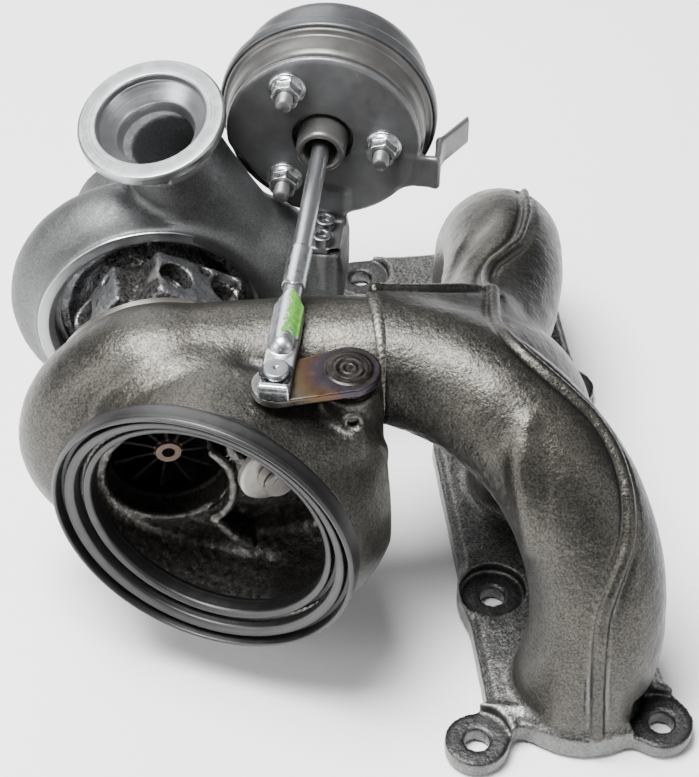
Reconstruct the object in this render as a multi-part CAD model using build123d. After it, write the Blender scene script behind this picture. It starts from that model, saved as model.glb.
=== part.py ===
from build123d import *
import math
import os

os.makedirs("parts", exist_ok=True)

# Row frame: origin at the centre of the middle exhaust port on the head face,
# +X across the flange, +Y along the flange from turbine to compressor, +Z away from the head.

# Driving dimensions, millimetres
PORT_PITCH = 91.0
PORT_R = 19.0
RUNNER_WALL = 3.6
FLANGE_T = 10.0
EAR_R = 10.5
EAR_T = 6.5
STUD_HOLE_R = 4.25
NEAR_PAIR = ((-37.9, -108.4), (23.6, -108.4))
MID_PAIRS = ((-22.7, -49.0), (22.7, -49.0), (-22.7, 49.0), (22.7, 49.0))
FAR_PAIR = ((-46.6, 118.5), (20.0, 118.5))

ROTOR_X = -130.0
ROTOR_Z = 67.0
JOIN_X = -62.0
SCROLL_Y = -20.0
EXDUCER_R = 19.0
INDUCER_R = 23.5
SHAFT_R = 4.0
BEARING_BORE_R = 7.0
CLAMP_Y = 4.0

OUTLET_AT = (-123.0, -69.0, 72.0)
OUTLET_TURN = 25.9
OUTLET_RIM_R = 50.9
OUTLET_BORE_R = 39.5
CHAMBER_AT = (-98.0, -50.0, 68.0)

PIVOT = (-73.7, -49.2)
PIN = (-96.6, -53.2)
LEVER_Z = 119.0
LEVER_T = 3.0
ROD_Z = 126.0
ROD_R = 3.0
FLAP_OPEN = 20.0
PORT_AT = (-99.7, -46.0, 88.0)

RING_Y = 37.0
COMP_Y = 59.0
COMP_BORE_R = 35.0
INLET_END_Y = 99.0
DISCHARGE_AT = (-127.0, 58.2, 140.0)
DISCHARGE_AXIS = (-0.2, -0.2, 0.957)

CAN_AT = (-69.2, 58.2, 126.0)
CAN_R = 34.2
CRIMP_R = 37.6
STUD_SPOTS = ((-12.0, 20.5), (20.6, -0.6), (-13.2, -18.0))
FOOT_X = 1.5
FOOT_SPOTS = (-12.6, -4.2)

TO_RIM = Vector(-math.sin(math.radians(OUTLET_TURN)), -math.cos(math.radians(OUTLET_TURN)), 0)
ROD_AXIS = Vector(CAN_AT[0] - PIN[0], CAN_AT[1] - PIN[1], 0).normalized()
CAN = Plane(CAN_AT, x_dir=(ROD_AXIS.Y, -ROD_AXIS.X, 0), z_dir=tuple(ROD_AXIS))
ROTOR = Plane((ROTOR_X, 0, ROTOR_Z), x_dir=(1, 0, 0), z_dir=(0, 1, 0))
BASE = (Align.CENTER, Align.CENTER, Align.MIN)


def rod(at, axis, radius, length):
    """A cylinder that starts at a point and grows along an axis."""
    return Plane(at, z_dir=axis) * Cylinder(radius, length, align=BASE)


def turned(outline, place):
    """A body turned from (radius, height) points about the z axis of a plane."""
    face = Plane.XZ * make_face(Polyline(*outline, close=True))
    return place * revolve(face, Axis.Z)


def ring(place, inner, outer, start, end):
    """A plain ring between two heights on a plane's axis."""
    return turned([(inner, start), (outer, start), (outer, end), (inner, end)], place)


def bar(place, size, at):
    """A box of the given size centred on a point of a plane."""
    return place * (Pos(*at) * Box(*size))


def pipe(points, radii, side):
    """A smooth tube body through a row of centres, with one radius for each."""
    spots = [Vector(*p) for p in points]
    last = len(spots) - 1
    sections = []
    for i, (spot, radius) in enumerate(zip(spots, radii)):
        along = spots[min(i + 1, last)] - spots[max(i - 1, 0)]
        across = Vector(*side) - along * (Vector(*side).dot(along) / along.dot(along))
        sections.append(Plane(spot, x_dir=tuple(across), z_dir=tuple(along)) * Circle(radius))
    return loft(sections)


def snail(start, stop, count, rc, radius, y):
    """Centres and radii of a volute that winds about the rotor axis."""
    points = []
    radii = []
    for i in range(count):
        f = i / (count - 1)
        turn = math.radians(start + (stop - start) * f)
        reach = rc(f)
        points.append((ROTOR_X + reach * math.cos(turn), y(f), ROTOR_Z + reach * math.sin(turn)))
        radii.append(radius(f))
    return points, radii


def blades(count, stations, thickness, inner, outer, envelope):
    """Wheel blades: twisted strips trimmed to a turned envelope."""
    sections = []
    for height, turn in stations:
        plane = ROTOR * Plane((0, 0, height)).rotated((0, 0, turn))
        sections.append(plane * (Pos((inner + outer) / 2, 0, 0) * Rectangle(outer - inner, thickness)))
    blade = loft(sections, ruled=True) & envelope
    axis = Axis((ROTOR_X, 0, ROTOR_Z), (0, 1, 0))
    return [blade.rotate(axis, 360 * i / count) for i in range(count)]


def save(part, node):
    """Write one sub-part's STEP file."""
    part.label = node
    export_step(part, "parts/" + node + ".step")


# Exhaust manifold

def flange():
    """The head flange with its stud ears and spot faces."""
    body = Pos(-1, -4, 0) * Box(58, 208, FLANGE_T, align=BASE)
    body += Pos(-12, 112, 0) * Box(62, 32, FLANGE_T, align=BASE)
    for x, y in ((35, -70), (35, 45), (-37, 45)):
        body -= Pos(x, y, 0) * Cylinder(19, FLANGE_T, align=BASE)
    for i in (-1, 0, 1):
        body += Pos(0, PORT_PITCH * i, 0) * Cylinder(PORT_R + 8, FLANGE_T, align=BASE)
    for x, y in NEAR_PAIR + MID_PAIRS + FAR_PAIR:
        body -= Pos(x, y, EAR_T) * Cylinder(EAR_R, FLANGE_T, align=BASE)
        body += Pos(x, y, 0) * Cylinder(EAR_R, EAR_T, align=BASE)
    for x, y in NEAR_PAIR + MID_PAIRS + FAR_PAIR:
        body -= Pos(x, y, 0) * Cylinder(STUD_HOLE_R, 2 * FLANGE_T, align=BASE)
    return body


NEAR_RUN = ((0, -91, 1), (1, -91, 20), (3, -89, 38), (2, -82, 58), (-4, -71, 77),
            (-14, -58, 90), (-28, -44, 98), (-44, -32, 101), (-62, -25, 102), (-74, -23, 102))
NEAR_RADII = (23.4, 22.4, 22, 22, 22, 21.5, 21.5, 21, 20.5, 20.5)
MIDDLE_RUN = ((0, 0, 1), (0, 0, 20), (-1, -1, 38), (-6, -5, 57), (-17, -13, 77), (-33, -26, 94),
              (-42, -34, 100))
MIDDLE_RADII = (23.2, 21.6, 20.6, 20.3, 20, 19.4, 18)
FAR_RUN = ((0, 91, 1), (0, 91, 20), (-0.5, 87, 42), (-1, 73, 57), (-5, 50, 64),
           (-13, 25, 67), (-24, 5, 75), (-36, -13, 88), (-51, -27, 100))
FAR_RADII = (24, 22.6, 22, 21.6, 21.4, 21, 20.4, 19.6, 17.8)


def runners(shrink):
    """The three runners and the collector, or their passages when shrunk."""
    near = pipe(NEAR_RUN, [r - shrink for r in NEAR_RADII], (0.73, 0.68, 0))
    middle = pipe(MIDDLE_RUN, [r - shrink for r in MIDDLE_RADII], (0.57, -0.82, 0))
    far = pipe(FAR_RUN, [r - shrink for r in FAR_RADII], (0.95, -0.32, 0))
    return near + middle + far


def manifold():
    """The cast manifold with its bored ports."""
    body = runners(0) - runners(RUNNER_WALL)
    body += flange()
    for i in (-1, 0, 1):
        body -= Pos(0, PORT_PITCH * i, -5) * Cylinder(PORT_R, 5 + FLANGE_T, align=BASE)
    body -= Pos(0, 0, -10) * Box(300, 300, 20)
    return body - Pos(JOIN_X - 30, 0, 100) * Box(60, 200, 100)


def weld():
    """The bead that joins the turbine housing to the manifold."""
    place = Plane((JOIN_X, -25, 102), x_dir=(0, 0, 1), z_dir=(-1, 0, 0))
    return turned([(20.6, -1.5), (21.9, -1.0), (22.1, 0.4), (21.6, 1.8), (20.6, 2.2)], place)


# Turbine housing

def scroll(shrink):
    """The turbine scroll and its inlet pipe, or its gas passage."""
    side = (0, 1, 0)
    if shrink:
        points, radii = snail(90, 380, 14, lambda f: 35 - 7.5 * f, lambda f: 12.3 - 8.3 * f,
                              lambda f: SCROLL_Y + 1 + 6 * f)
        lead = pipe(((-50, -27, 102), (-62, -25, 102), (-76, -22.5, 102), (-100, -20, 101.5),
                     (-134, -19, 102)),
                    (16.9, 16.9, 16.4, 15, 12.3), side)
    else:
        points, radii = snail(90, 385, 15, lambda f: 34 - 9 * f, lambda f: 19.5 - 8.5 * f,
                              lambda f: SCROLL_Y + 5 * f)
        lead = pipe(((-50, -27, 102), (-62, -25, 102), (-76, -23, 101.6), (-100, -21, 101.2),
                     (-135, -20, 101)),
                    (20.5, 20.5, 20, 19.6, 19.5), side)
    return pipe(points, radii, side) + lead


def chamber():
    """The outlet chamber with the V-band rim and the wastegate boss."""
    place = Plane(OUTLET_AT, z_dir=tuple(-TO_RIM))
    neck = turned([(0, 0), (49.6, 0), (OUTLET_RIM_R, 1.3), (OUTLET_RIM_R, 4.2), (46.4, 8.5), (46.0, 36),
                   (40, 44), (0, 44)], place)
    ball = Pos(*CHAMBER_AT) * Sphere(40.5) - place * (Pos(0, 0, -40) * Box(200, 200, 100))
    body = neck + ball
    body += Pos(PIVOT[0], PIVOT[1], 70) * Cylinder(9.5, 45.8, align=BASE)
    return body & Pos(-120, -72, 72) * Box(124, 104, 110)


def chamber_space():
    """The gas space inside the outlet chamber: the throat behind the rim and the round back."""
    place = Plane(OUTLET_AT, z_dir=tuple(-TO_RIM))
    throat = turned([(0, -1), (46.6, -1), (46.6, 1.4), (43.4, 1.4), (43.4, 2.8), (OUTLET_BORE_R + 1.2, 2.8),
                     (OUTLET_BORE_R, 4), (OUTLET_BORE_R, 9), (42.6, 12), (42.6, 34), (37, 40), (0, 40)],
                     place)
    limit = Pos(-120, -86, 72) * Box(124, 102, 110)
    limit -= Plane(PORT_AT, z_dir=(0, 1, 0)) * Cylinder(12.6, 30, align=BASE)
    return limit & (throat + Pos(*CHAMBER_AT) * Sphere(36.5))


def turbine_housing():
    """The turbine housing, hollowed for gas, wheel, wastegate and bearing housing."""
    body = scroll(0) + chamber()
    body += turned([(0, -34), (27.5, -34), (30.5, -9), (30.5, -0.5), (33, 1), (33, CLAMP_Y),
                    (0, CLAMP_Y)], ROTOR)
    body -= chamber_space()
    body -= scroll(RUNNER_WALL)
    body -= turned([(0, -40), (22, -40), (22, -27), (EXDUCER_R, -24), (EXDUCER_R, -15.5),
                    (EXDUCER_R + 1.6, -13), (24, -11.6), (34, -11.6), (34, -6.2), (25.5, -6.2),
                    (25.5, -3), (28, -3), (28, 5), (0, 5)], ROTOR)
    body -= rod((PORT_AT[0], PORT_AT[1] - 1, PORT_AT[2]), (0, 1, 0), 9, 25)
    body -= Pos(PIVOT[0], PIVOT[1], 70) * Cylinder(6.5, 50, align=BASE)
    body -= rod((PIVOT[0], PIVOT[1] - 20, 109), (0, 1, 0), 1.5, 30)
    body -= Pos(JOIN_X + 30, 0, 100) * Box(60, 200, 100)
    return body


# Rotor

def turbine_wheel():
    """The radial turbine wheel with its nose hub."""
    hub = turned([(2.2, -26), (4.2, -26), (5.2, -22), (7, -15), (11, -10), (17, -6.6), (20, -5.9), (20, -5),
                  (6.5, -5), (6.5, -2.4), (SHAFT_R, -2.4), (SHAFT_R, -20), (2.2, -20)], ROTOR)
    shroud = turned([(3, -25), (EXDUCER_R - 0.4, -24), (EXDUCER_R - 0.4, -15.2), (EXDUCER_R + 1.2, -12.7),
                     (INDUCER_R, -11.3), (INDUCER_R, -6.6), (18, -5), (3, -5)], ROTOR)
    stations = ((-26, 44), (-22, 24), (-18, 10), (-14, 3), (-4, 0))
    for blade in blades(11, stations, 1.1, 4.6, 26, shroud):
        hub += blade
    return hub


def compressor_wheel():
    """The compressor wheel with backswept blades."""
    hub = turned([(SHAFT_R - 1, 78), (5.4, 78), (6.2, 72), (9, 62), (15, 56), (23, 53.8), (23, 52.8),
                  (7, 52.8), (SHAFT_R - 1, 52.8)], ROTOR)
    shroud = turned([(4.4, 53), (23.4, 53), (23.4, 56.4), (20, 59.5), (17.8, 63.5), (17.2, 67), (17.2, 74),
                     (4.4, 74)], ROTOR)
    stations = ((75, -52), (70, -34), (65, -18), (60, -6), (53, 12))
    for blade in blades(12, stations, 0.9, 5, 25, shroud):
        hub += blade
    return hub


def shaft():
    """The stepped rotor shaft, joined to the turbine wheel."""
    return turned([(0, -19.9), (SHAFT_R, -19.9), (SHAFT_R, 38), (SHAFT_R - 1, 38), (SHAFT_R - 1, 86),
                   (SHAFT_R - 1.5, 86.5), (0, 86.5)], ROTOR)


def shaft_nut():
    """The hex nut that clamps the compressor wheel."""
    body = (ROTOR * Plane((0, 0, 78.02))) * extrude(RegularPolygon(6, 6), 5)
    return body - rod((ROTOR_X, 70, ROTOR_Z), (0, 1, 0), SHAFT_R - 1, 20)


# Centre housing and bearings

def pad(lean, reach, low, high, start, end):
    """A flat cast pad on the bearing housing, leaning round the rotor axis, and its plane."""
    lean = math.radians(lean)
    place = Plane((ROTOR_X, 0, ROTOR_Z), x_dir=(0, 1, 0), z_dir=(math.sin(lean), 0, math.cos(lean)))
    middle = ((start + end) / 2, (low + high) / 2, (reach + 5) / 2)
    return place, bar(place, (end - start, high - low, reach - 5), middle)


def bearing_housing():
    """The cast centre housing with oil and coolant pads."""
    body = turned([(8, -2.4), (27.6, -2.4), (27.6, CLAMP_Y + 0.02), (33, CLAMP_Y + 0.02), (33, 7), (27, 10),
                   (21, 13), (20, 30), (27, 40), (30, 46.1), (34.9, 46.1), (34.9, 52), (8, 52)], ROTOR)
    right, right_pad = pad(29.4, 30.8, -18, 15.5, 16, 36.8)
    left, left_pad = pad(-56.2, 27.2, -17, 11, 19, 36.8)
    drain, drain_pad = pad(180, 30, -15, 15, 12, 36)
    body += right_pad
    body += left_pad
    body += drain_pad
    body -= turned([(0, -5), (8.2, -5), (8.2, 1), (BEARING_BORE_R, 1), (BEARING_BORE_R, 37), (18, 37),
                    (18, 53), (0, 53)], ROTOR)
    body -= right * (Pos(26, 8.4, 6) * Cylinder(4.2, 30, align=BASE))
    body -= right * (Pos(26, 8.4, 24) * Cylinder(6, 10, align=BASE))
    body -= right * (Pos(28, -12, 20) * Cylinder(6.2, 14, align=BASE))
    body -= right * (Pos(28, -12, 26.5) * Cylinder(7.2, 8, align=BASE))
    body -= right * (Pos(33.4, -3.2, 20) * Cylinder(2.5, 14, align=BASE))
    body -= left * (Pos(30, 3.8, 17) * Cylinder(5.5, 14, align=BASE))
    body -= left * (Pos(32.5, -11.9, 17) * Cylinder(2.1, 14, align=BASE))
    body -= drain * (Pos(25, 0, 6) * Cylinder(4.5, 30, align=BASE))
    body -= drain * (Pos(25, 0, 12) * Cylinder(8, 24, align=BASE))
    return body


def floating_bearing(start):
    """A bronze floating journal bearing."""
    body = ring(ROTOR, SHAFT_R + 0.03, BEARING_BORE_R - 0.04, start, start + 7)
    for i in range(4):
        hole = Plane((ROTOR_X, start + 3.5, ROTOR_Z), z_dir=(0, 0, 1)) * Cylinder(0.9, 8, align=BASE)
        body -= hole.rotate(Axis((ROTOR_X, 0, ROTOR_Z), (0, 1, 0)), 45 + 90 * i)
    return body


def gap_ring(inner, outer, start, end):
    """A ring with a narrow gap, such as a piston ring or a snap ring."""
    body = ring(ROTOR, inner, outer, start, end)
    return body - bar(ROTOR, (1.2, 12, end - start + 2), (0, -outer, (start + end) / 2))


def thrust_bearing():
    """The thrust bearing plate with its oil slots."""
    body = ring(ROTOR, 8.2, 17.9, 40.5, 43.5)
    for i in range(3):
        slot = bar(ROTOR, (2, 6, 2), (0, 10, 43.5))
        body -= slot.rotate(Axis((ROTOR_X, 0, ROTOR_Z), (0, 1, 0)), 60 + 120 * i)
    return body


def heat_shield():
    """The pressed shield behind the turbine wheel."""
    return turned([(9, -3.9), (24, -3.9), (24.4, -3.5), (25.4, -3.5), (25.4, -4.2), (24.8, -4.6),
                   (9, -4.6)], ROTOR)


def turbine_clamp():
    """The V-band that holds turbine housing and bearing housing together."""
    band = turned([(33.1, -0.2), (36.5, -0.2), (36.5, 9.6), (31.2, 9.6), (33.1, 7.4)], ROTOR)
    band -= bar(ROTOR, (14, 24, 20), (0, 36, 4.7))
    band += bar(ROTOR, (3, 12, 9), (-8.4, 40.6, 4.7))
    band += bar(ROTOR, (3, 12, 9), (8.4, 40.6, 4.7))
    return band - rod((ROTOR_X - 30, 4.7, ROTOR_Z - 42), (1, 0, 0), 2.7, 60)


def clamp_bolt():
    """The bolt across the V-band's ends."""
    body = rod((ROTOR_X - 15, 4.7, ROTOR_Z - 42), (1, 0, 0), 2.5, 31)
    head = Plane((ROTOR_X - 10.02, 4.7, ROTOR_Z - 42),
                 z_dir=(-1, 0, 0)) * extrude(RegularPolygon(4.6, 6), 4)
    return body + head


def clamp_nut():
    """The nut on the V-band bolt."""
    place = Plane((ROTOR_X + 9.98, 4.7, ROTOR_Z - 42), z_dir=(1, 0, 0))
    return place * extrude(RegularPolygon(4.6, 6), 4.4) - place * Cylinder(2.5, 20)


def thrust_collar():
    """The collar that runs against the thrust bearing."""
    return turned([(SHAFT_R - 1, 38.05), (12, 38.05), (12, 40.3), (8, 40.3), (8, 43.7),
                   (SHAFT_R - 1, 43.7)], ROTOR)


def oil_flinger():
    """The flinger sleeve between collar and compressor wheel."""
    return turned([(SHAFT_R - 1, 43.72), (12, 43.72), (12, 44.9), (7, 44.9), (7, 52.75),
                   (SHAFT_R - 1, 52.75)], ROTOR)


# Compressor

def compressor_housing():
    """The aluminium compressor housing with volute, discharge and inlet."""
    side = (0, 1, 0)
    points, radii = snail(60, 375, 15, lambda f: 33.5 + 8 * f, lambda f: 9.5 + 9.5 * f,
                          lambda f: COMP_Y - 2)
    body = pipe(points, radii, side)
    duct = ((-88.5, 57, 66), (-92, 57, 76), (-103.5, 56.5, 93), (-116.5, 58, 117), (-126.3, 58.3, 137.5))
    body += pipe(duct, (19, 18.5, 17.5, 17, 17), side)
    body += turned([(0, 47), (33, 47), (34, 70), (28, 80), (25.5, 84), (25.5, INLET_END_Y - 1),
                    (24.5, INLET_END_Y), (0, INLET_END_Y)], ROTOR)
    body += ring(ROTOR, 30, 41.7, RING_Y, 58)
    flange_place = Plane(DISCHARGE_AT, z_dir=DISCHARGE_AXIS)
    body += turned([(0, 0), (24.6, 0), (25.2, -0.6), (25.2, -3.6), (19, -4.6), (19, -9), (0, -9)],
                   flange_place)
    body += bar(CAN, (13, 26, 26), (FOOT_X, 51, -3)) + bar(CAN, (24, 18, 22), (-4.5, 53, -3))
    points, radii = snail(60, 375, 15, lambda f: 34 + 8 * f, lambda f: 3.6 + 8.4 * f,
                          lambda f: 56 + 7.5 * f)
    body -= pipe(points, radii, side)
    body -= pipe(((-89.4, 63.5, 66), (-91.5, 63, 78), (-103, 60, 94), (-116, 58.5, 116),
                  (-126.6, 58.3, 140.2)),
                 (12, 12, 12, 12, 12), side)
    body -= turned([(0, 8), (18.6, 8), (18.6, -3), (16.8, -5), (13.6, -8), (12.2, -12), (0, -12)],
                   flange_place)
    body -= turned([(0, 30), (COMP_BORE_R, 30), (COMP_BORE_R, 44.2), (COMP_BORE_R + 1.6, 44.2),
                    (COMP_BORE_R + 1.6, 46), (COMP_BORE_R, 46), (COMP_BORE_R, 52.02), (34.4, 52.02),
                    (34.4, 55.2), (24.4, 56.6), (20.5, 60), (18.2, 63.8), (17.6, 67), (17.6, 84), (22, 90),
                    (22, 110), (0, 110)], ROTOR)
    for s in FOOT_SPOTS:
        body -= foot_axis(s) * Cylinder(2.05, 54, align=BASE)
    return body


def foot_axis(s):
    """The plane of a bracket screw, pointing down into the compressor housing."""
    return Plane((CAN * Pos(FOOT_X, 0, s)).position, z_dir=(0, 0, -1))


# Wastegate

def about_pivot(part, degrees):
    """Turn a body about the wastegate pivot."""
    return part.rotate(Axis((PIVOT[0], PIVOT[1], 0), (0, 0, 1)), degrees)


def wastegate_valve():
    """The flap disc with its stem, shown lifted from its seat."""
    place = Plane((PORT_AT[0], PORT_AT[1] - 0.25, PORT_AT[2]), z_dir=(0, -1, 0))
    body = turned([(0, 0), (11, 0), (11.5, 0.5), (11.5, 2.4), (10.6, 3), (3.2, 3.4), (3.2, 8.6),
                   (0, 8.6)], place)
    return about_pivot(body, FLAP_OPEN)


def wastegate_washer():
    """The washer riveted over the valve stem."""
    place = Plane((PORT_AT[0], PORT_AT[1] - 0.25, PORT_AT[2]), z_dir=(0, -1, 0))
    return about_pivot(ring(place, 3.25, 5.4, 7.2, 8.4), FLAP_OPEN)


def wastegate_arm():
    """The arm inside the chamber that carries the flap on the shaft."""
    eye = Plane((PORT_AT[0], PORT_AT[1] - 3.8, PORT_AT[2]), z_dir=(0, -1, 0)) * Cylinder(6, 3.2, align=BASE)
    link = Pos((PORT_AT[0] + PIVOT[0]) / 2, PORT_AT[1] - 5.4, PORT_AT[2]) * Box(26, 3.2, 8)
    hub = Pos(PIVOT[0], PIVOT[1], 83) * Cylinder(6, 9.5, align=BASE)
    body = eye + link + hub
    body -= Pos(PIVOT[0], PIVOT[1], 80) * Cylinder(4, 20, align=BASE)
    body -= rod((PORT_AT[0], PORT_AT[1], PORT_AT[2]), (0, -1, 0), 3.4, 12)
    return about_pivot(body, FLAP_OPEN)


def wastegate_shaft():
    """The shaft from the lever down to the arm."""
    return Pos(PIVOT[0], PIVOT[1], 82.5) * Cylinder(4, LEVER_Z + LEVER_T - 82.5, align=BASE)


def wastegate_bush():
    """The flanged bush that guides the shaft through the chamber wall."""
    body = Pos(PIVOT[0], PIVOT[1], 94) * Cylinder(6.45, 21.9, align=BASE)
    body += Pos(PIVOT[0], PIVOT[1], 115.85) * Cylinder(7.2, 2.7, align=BASE)
    body -= Pos(PIVOT[0], PIVOT[1], 90) * Cylinder(4.05, 40, align=BASE)
    return body - rod((PIVOT[0], PIVOT[1] - 20, 109), (0, 1, 0), 1.5, 15.6)


def bush_pin():
    """The pin that keeps the bush in its bore."""
    return rod((PIVOT[0], PIVOT[1] - 9.4, 109), (0, 1, 0), 1.45, 4.8)


def lever():
    """The flat lever on the shaft's top end."""
    across = Vector(PIN[0] - PIVOT[0], PIN[1] - PIVOT[1], 0)
    place = Plane((PIVOT[0], PIVOT[1], LEVER_Z), x_dir=tuple(across), z_dir=(0, 0, 1))
    reach = across.length
    outline = make_hull([*Circle(9.9).edges(), *(Pos(reach, 0) * Circle(7.9)).edges()])
    body = place * extrude(outline, LEVER_T)
    body -= Pos(PIVOT[0], PIVOT[1], LEVER_Z - 1) * Cylinder(4.0, 6, align=BASE)
    return body - Pos(PIN[0], PIN[1], LEVER_Z - 1) * Cylinder(3.0, 6, align=BASE)


# Linkage

def pin():
    """The lever pin with its grooved head above the rod end."""
    place = Plane((PIN[0], PIN[1], LEVER_Z))
    return turned([(0, 0), (3.0, 0), (3.0, 3.05), (3.9, 3.05), (3.9, 3.15), (3.2, 3.2), (3.2, 7.1),
                   (2.6, 7.1), (2.6, 7.9), (4.2, 7.9), (4.2, 9.6), (3.8, 10), (0, 10)], place)


def e_clip():
    """The spring clip in the pin's groove."""
    place = Plane((PIN[0], PIN[1], LEVER_Z), x_dir=(ROD_AXIS.Y, -ROD_AXIS.X, 0), z_dir=(0, 0, 1))
    body = ring(place, 2.65, 5.4, 7.15, 7.85)
    return body - bar(place, (3.4, 6, 2), (0, -5, 7.5))


def rod_end():
    """The forged rod end: a flat eye that steps up to a crimped sleeve."""
    along = Plane((PIN[0], PIN[1], 0), x_dir=(ROD_AXIS.Y, -ROD_AXIS.X, 0), z_dir=(0, 0, 1))
    body = bar(along, (9.6, 27, 3.7), (0, 5.7, LEVER_Z + 5.15))
    body += bar(along, (9.6, 2.2, 4.9), (0, -6.7, LEVER_Z + 5.75))
    body += bar(along, (9.6, 20, 5.6), (0, 27, ROD_Z - 0.4))
    sleeve = along * Plane((0, 30, ROD_Z), z_dir=(0, 1, 0)) * Cylinder(4.1, 27, align=BASE)
    body += sleeve
    body -= along * Plane((0, 34, ROD_Z), z_dir=(0, 1, 0)) * Cylinder(ROD_R, 30, align=BASE)
    return body - along * (Pos(0, 0, LEVER_Z) * Cylinder(3.3, 12, align=BASE))


def actuator_rod():
    """The rod from the rod end into the actuator."""
    start = Vector(PIN[0], PIN[1], ROD_Z) + ROD_AXIS * 34
    return rod(tuple(start), tuple(ROD_AXIS), ROD_R, (Vector(*CAN_AT) - start).length + 4.25)


# Actuator

def front_shell():
    """The front can with the guide boss, clamped in the crimp rim."""
    body = turned([(5.6, -7), (7, -8), (8.4, -6.4), (8.6, 2.6), (31, 2.6), (33.4, 3.4), (CAN_R, 5.2),
                   (CAN_R, 12),
                   (36.2, 12.6), (36.2, 15.4), (31, 15.4), (31, 14.2), (32.9, 13.2), (32.9, 5.6), (31, 3.9),
                   (5.6, 3.9)], CAN)
    for x, z in STUD_SPOTS:
        body -= CAN * (Pos(x, -z, 0) * Cylinder(2.85, 8))
    return body


def rear_shell():
    """The rear dome with the rolled crimp rim."""
    body = turned([(36.3, 13.6), (37, 13.6), (CRIMP_R, 14.4), (CRIMP_R, 18.2), (CRIMP_R - 0.8, 19),
                   (33.8, 19.2),
                   (33.4, 30), (31, 34.4), (25, 36.4), (0, 36.4), (0, 35), (24.6, 35), (30, 33.2),
                   (32, 29.6), (32.2, 17.2), (36.3, 17.2)], CAN)
    return body - CAN * (Pos(0, 0, 36) * Cylinder(2.2, 8))


def diaphragm():
    """The rubber diaphragm clamped in the crimp rim."""
    return turned([(14, 7.6), (27, 7.6), (29.6, 9.4), (30.4, 12), (30.8, 15.5), (36.1, 15.5), (36.1, 17.1),
                   (29.8, 17.1), (28.8, 12.4), (26.4, 8.9), (14, 8.9)], CAN)


def piston():
    """The pressed piston cup riveted to the rod."""
    return turned([(0, 4.3), (13.6, 4.3), (13.6, 9), (22.6, 9), (23.4, 9.8), (23.4, 15), (22.4, 15),
                   (22.4, 10.4), (0, 10.4)], CAN)


def spring():
    """The coil spring between piston and dome."""
    coil = Helix(pitch=5.6, height=22, radius=18)
    wire = sweep(Plane(coil @ 0, z_dir=coil % 0) * Circle(1.1), coil)
    return CAN * (Pos(0, 0, 11.8) * wire)


def nipple():
    """The vacuum nipple on the dome."""
    return turned([(1.2, 35.2), (2.15, 35.2), (2.15, 36.42), (5, 36.42), (5, 37.6), (2.8, 38.4), (2.4, 42),
                   (3.2, 43.6), (2.2, 49), (1.2, 49)], CAN)


def studs():
    """The three threaded studs welded into the front can."""
    group = []
    for x, z in STUD_SPOTS:
        place = CAN * Pos(x, -z, 0)
        group.append(turned([(0, -11), (2.2, -11), (2.8, -10.4), (2.8, 3.92), (0, 3.92)], place))
    return Compound(children=group)


def nuts():
    """The three flange nuts on the studs."""
    group = []
    for x, z in STUD_SPOTS:
        place = CAN * Pos(x, -z, 0)
        body = place * (Pos(0, 0, -6) * extrude(RegularPolygon(5.1, 6), 5))
        body += turned([(0, -1.9), (5, -1.9), (6.4, -1.1), (6.4, -0.02), (0, -0.02)], place)
        group.append(body - place * (Pos(0, 0, -12) * Cylinder(2.85, 20, align=BASE)))
    return Compound(children=group)


def bracket():
    """The bracket: a round plate on the can, a foot on the compressor housing and a side tab."""
    body = turned([(0, 0), (31.6, 0), (33.3, 1.2), (33.3, 2.5), (0, 2.5)], CAN)
    body -= CAN * (Rot(0, 0, 50) * (Pos(0, 39, 0) * Box(60, 20, 10)))
    body += bar(CAN, (13, 14, 2.5), (FOOT_X, 31, 1.25))
    body += bar(CAN, (13, 2.5, 18.5), (FOOT_X, 36.75, -6.75))
    body += bar(CAN, (10, 12, 2.4), (35, 12, 1.3))
    body += bar(CAN, (2, 12, 14), (39, 12, 7))
    tab = Plane((CAN * Pos(39, 12, 13)).position, x_dir=(0, 0, 1), z_dir=tuple(ROD_AXIS))
    body += tab.rotated((32, 0, 0)) * Pos(0, 0, 8) * Box(11, 1.8, 18)
    body -= CAN * Cylinder(10.4, 20)
    for x, z in STUD_SPOTS:
        body -= CAN * (Pos(x, -z, 0) * Cylinder(3.05, 20))
    for s in FOOT_SPOTS:
        body -= foot_axis(s) * Cylinder(2.3, 50, align=BASE)
    return body


def bracket_screws():
    """The two cap screws through the bracket's foot."""
    group = []
    for s in FOOT_SPOTS:
        place = foot_axis(s).offset(35.48)
        body = turned([(0, -4), (3.3, -4), (3.5, -3.6), (3.5, 0), (2, 0), (2, 14), (0, 14)], place)
        group.append(body - place * (Pos(0, 0, -4.1) * extrude(RegularPolygon(1.9, 6), 2.2)))
    return Compound(children=group)


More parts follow.
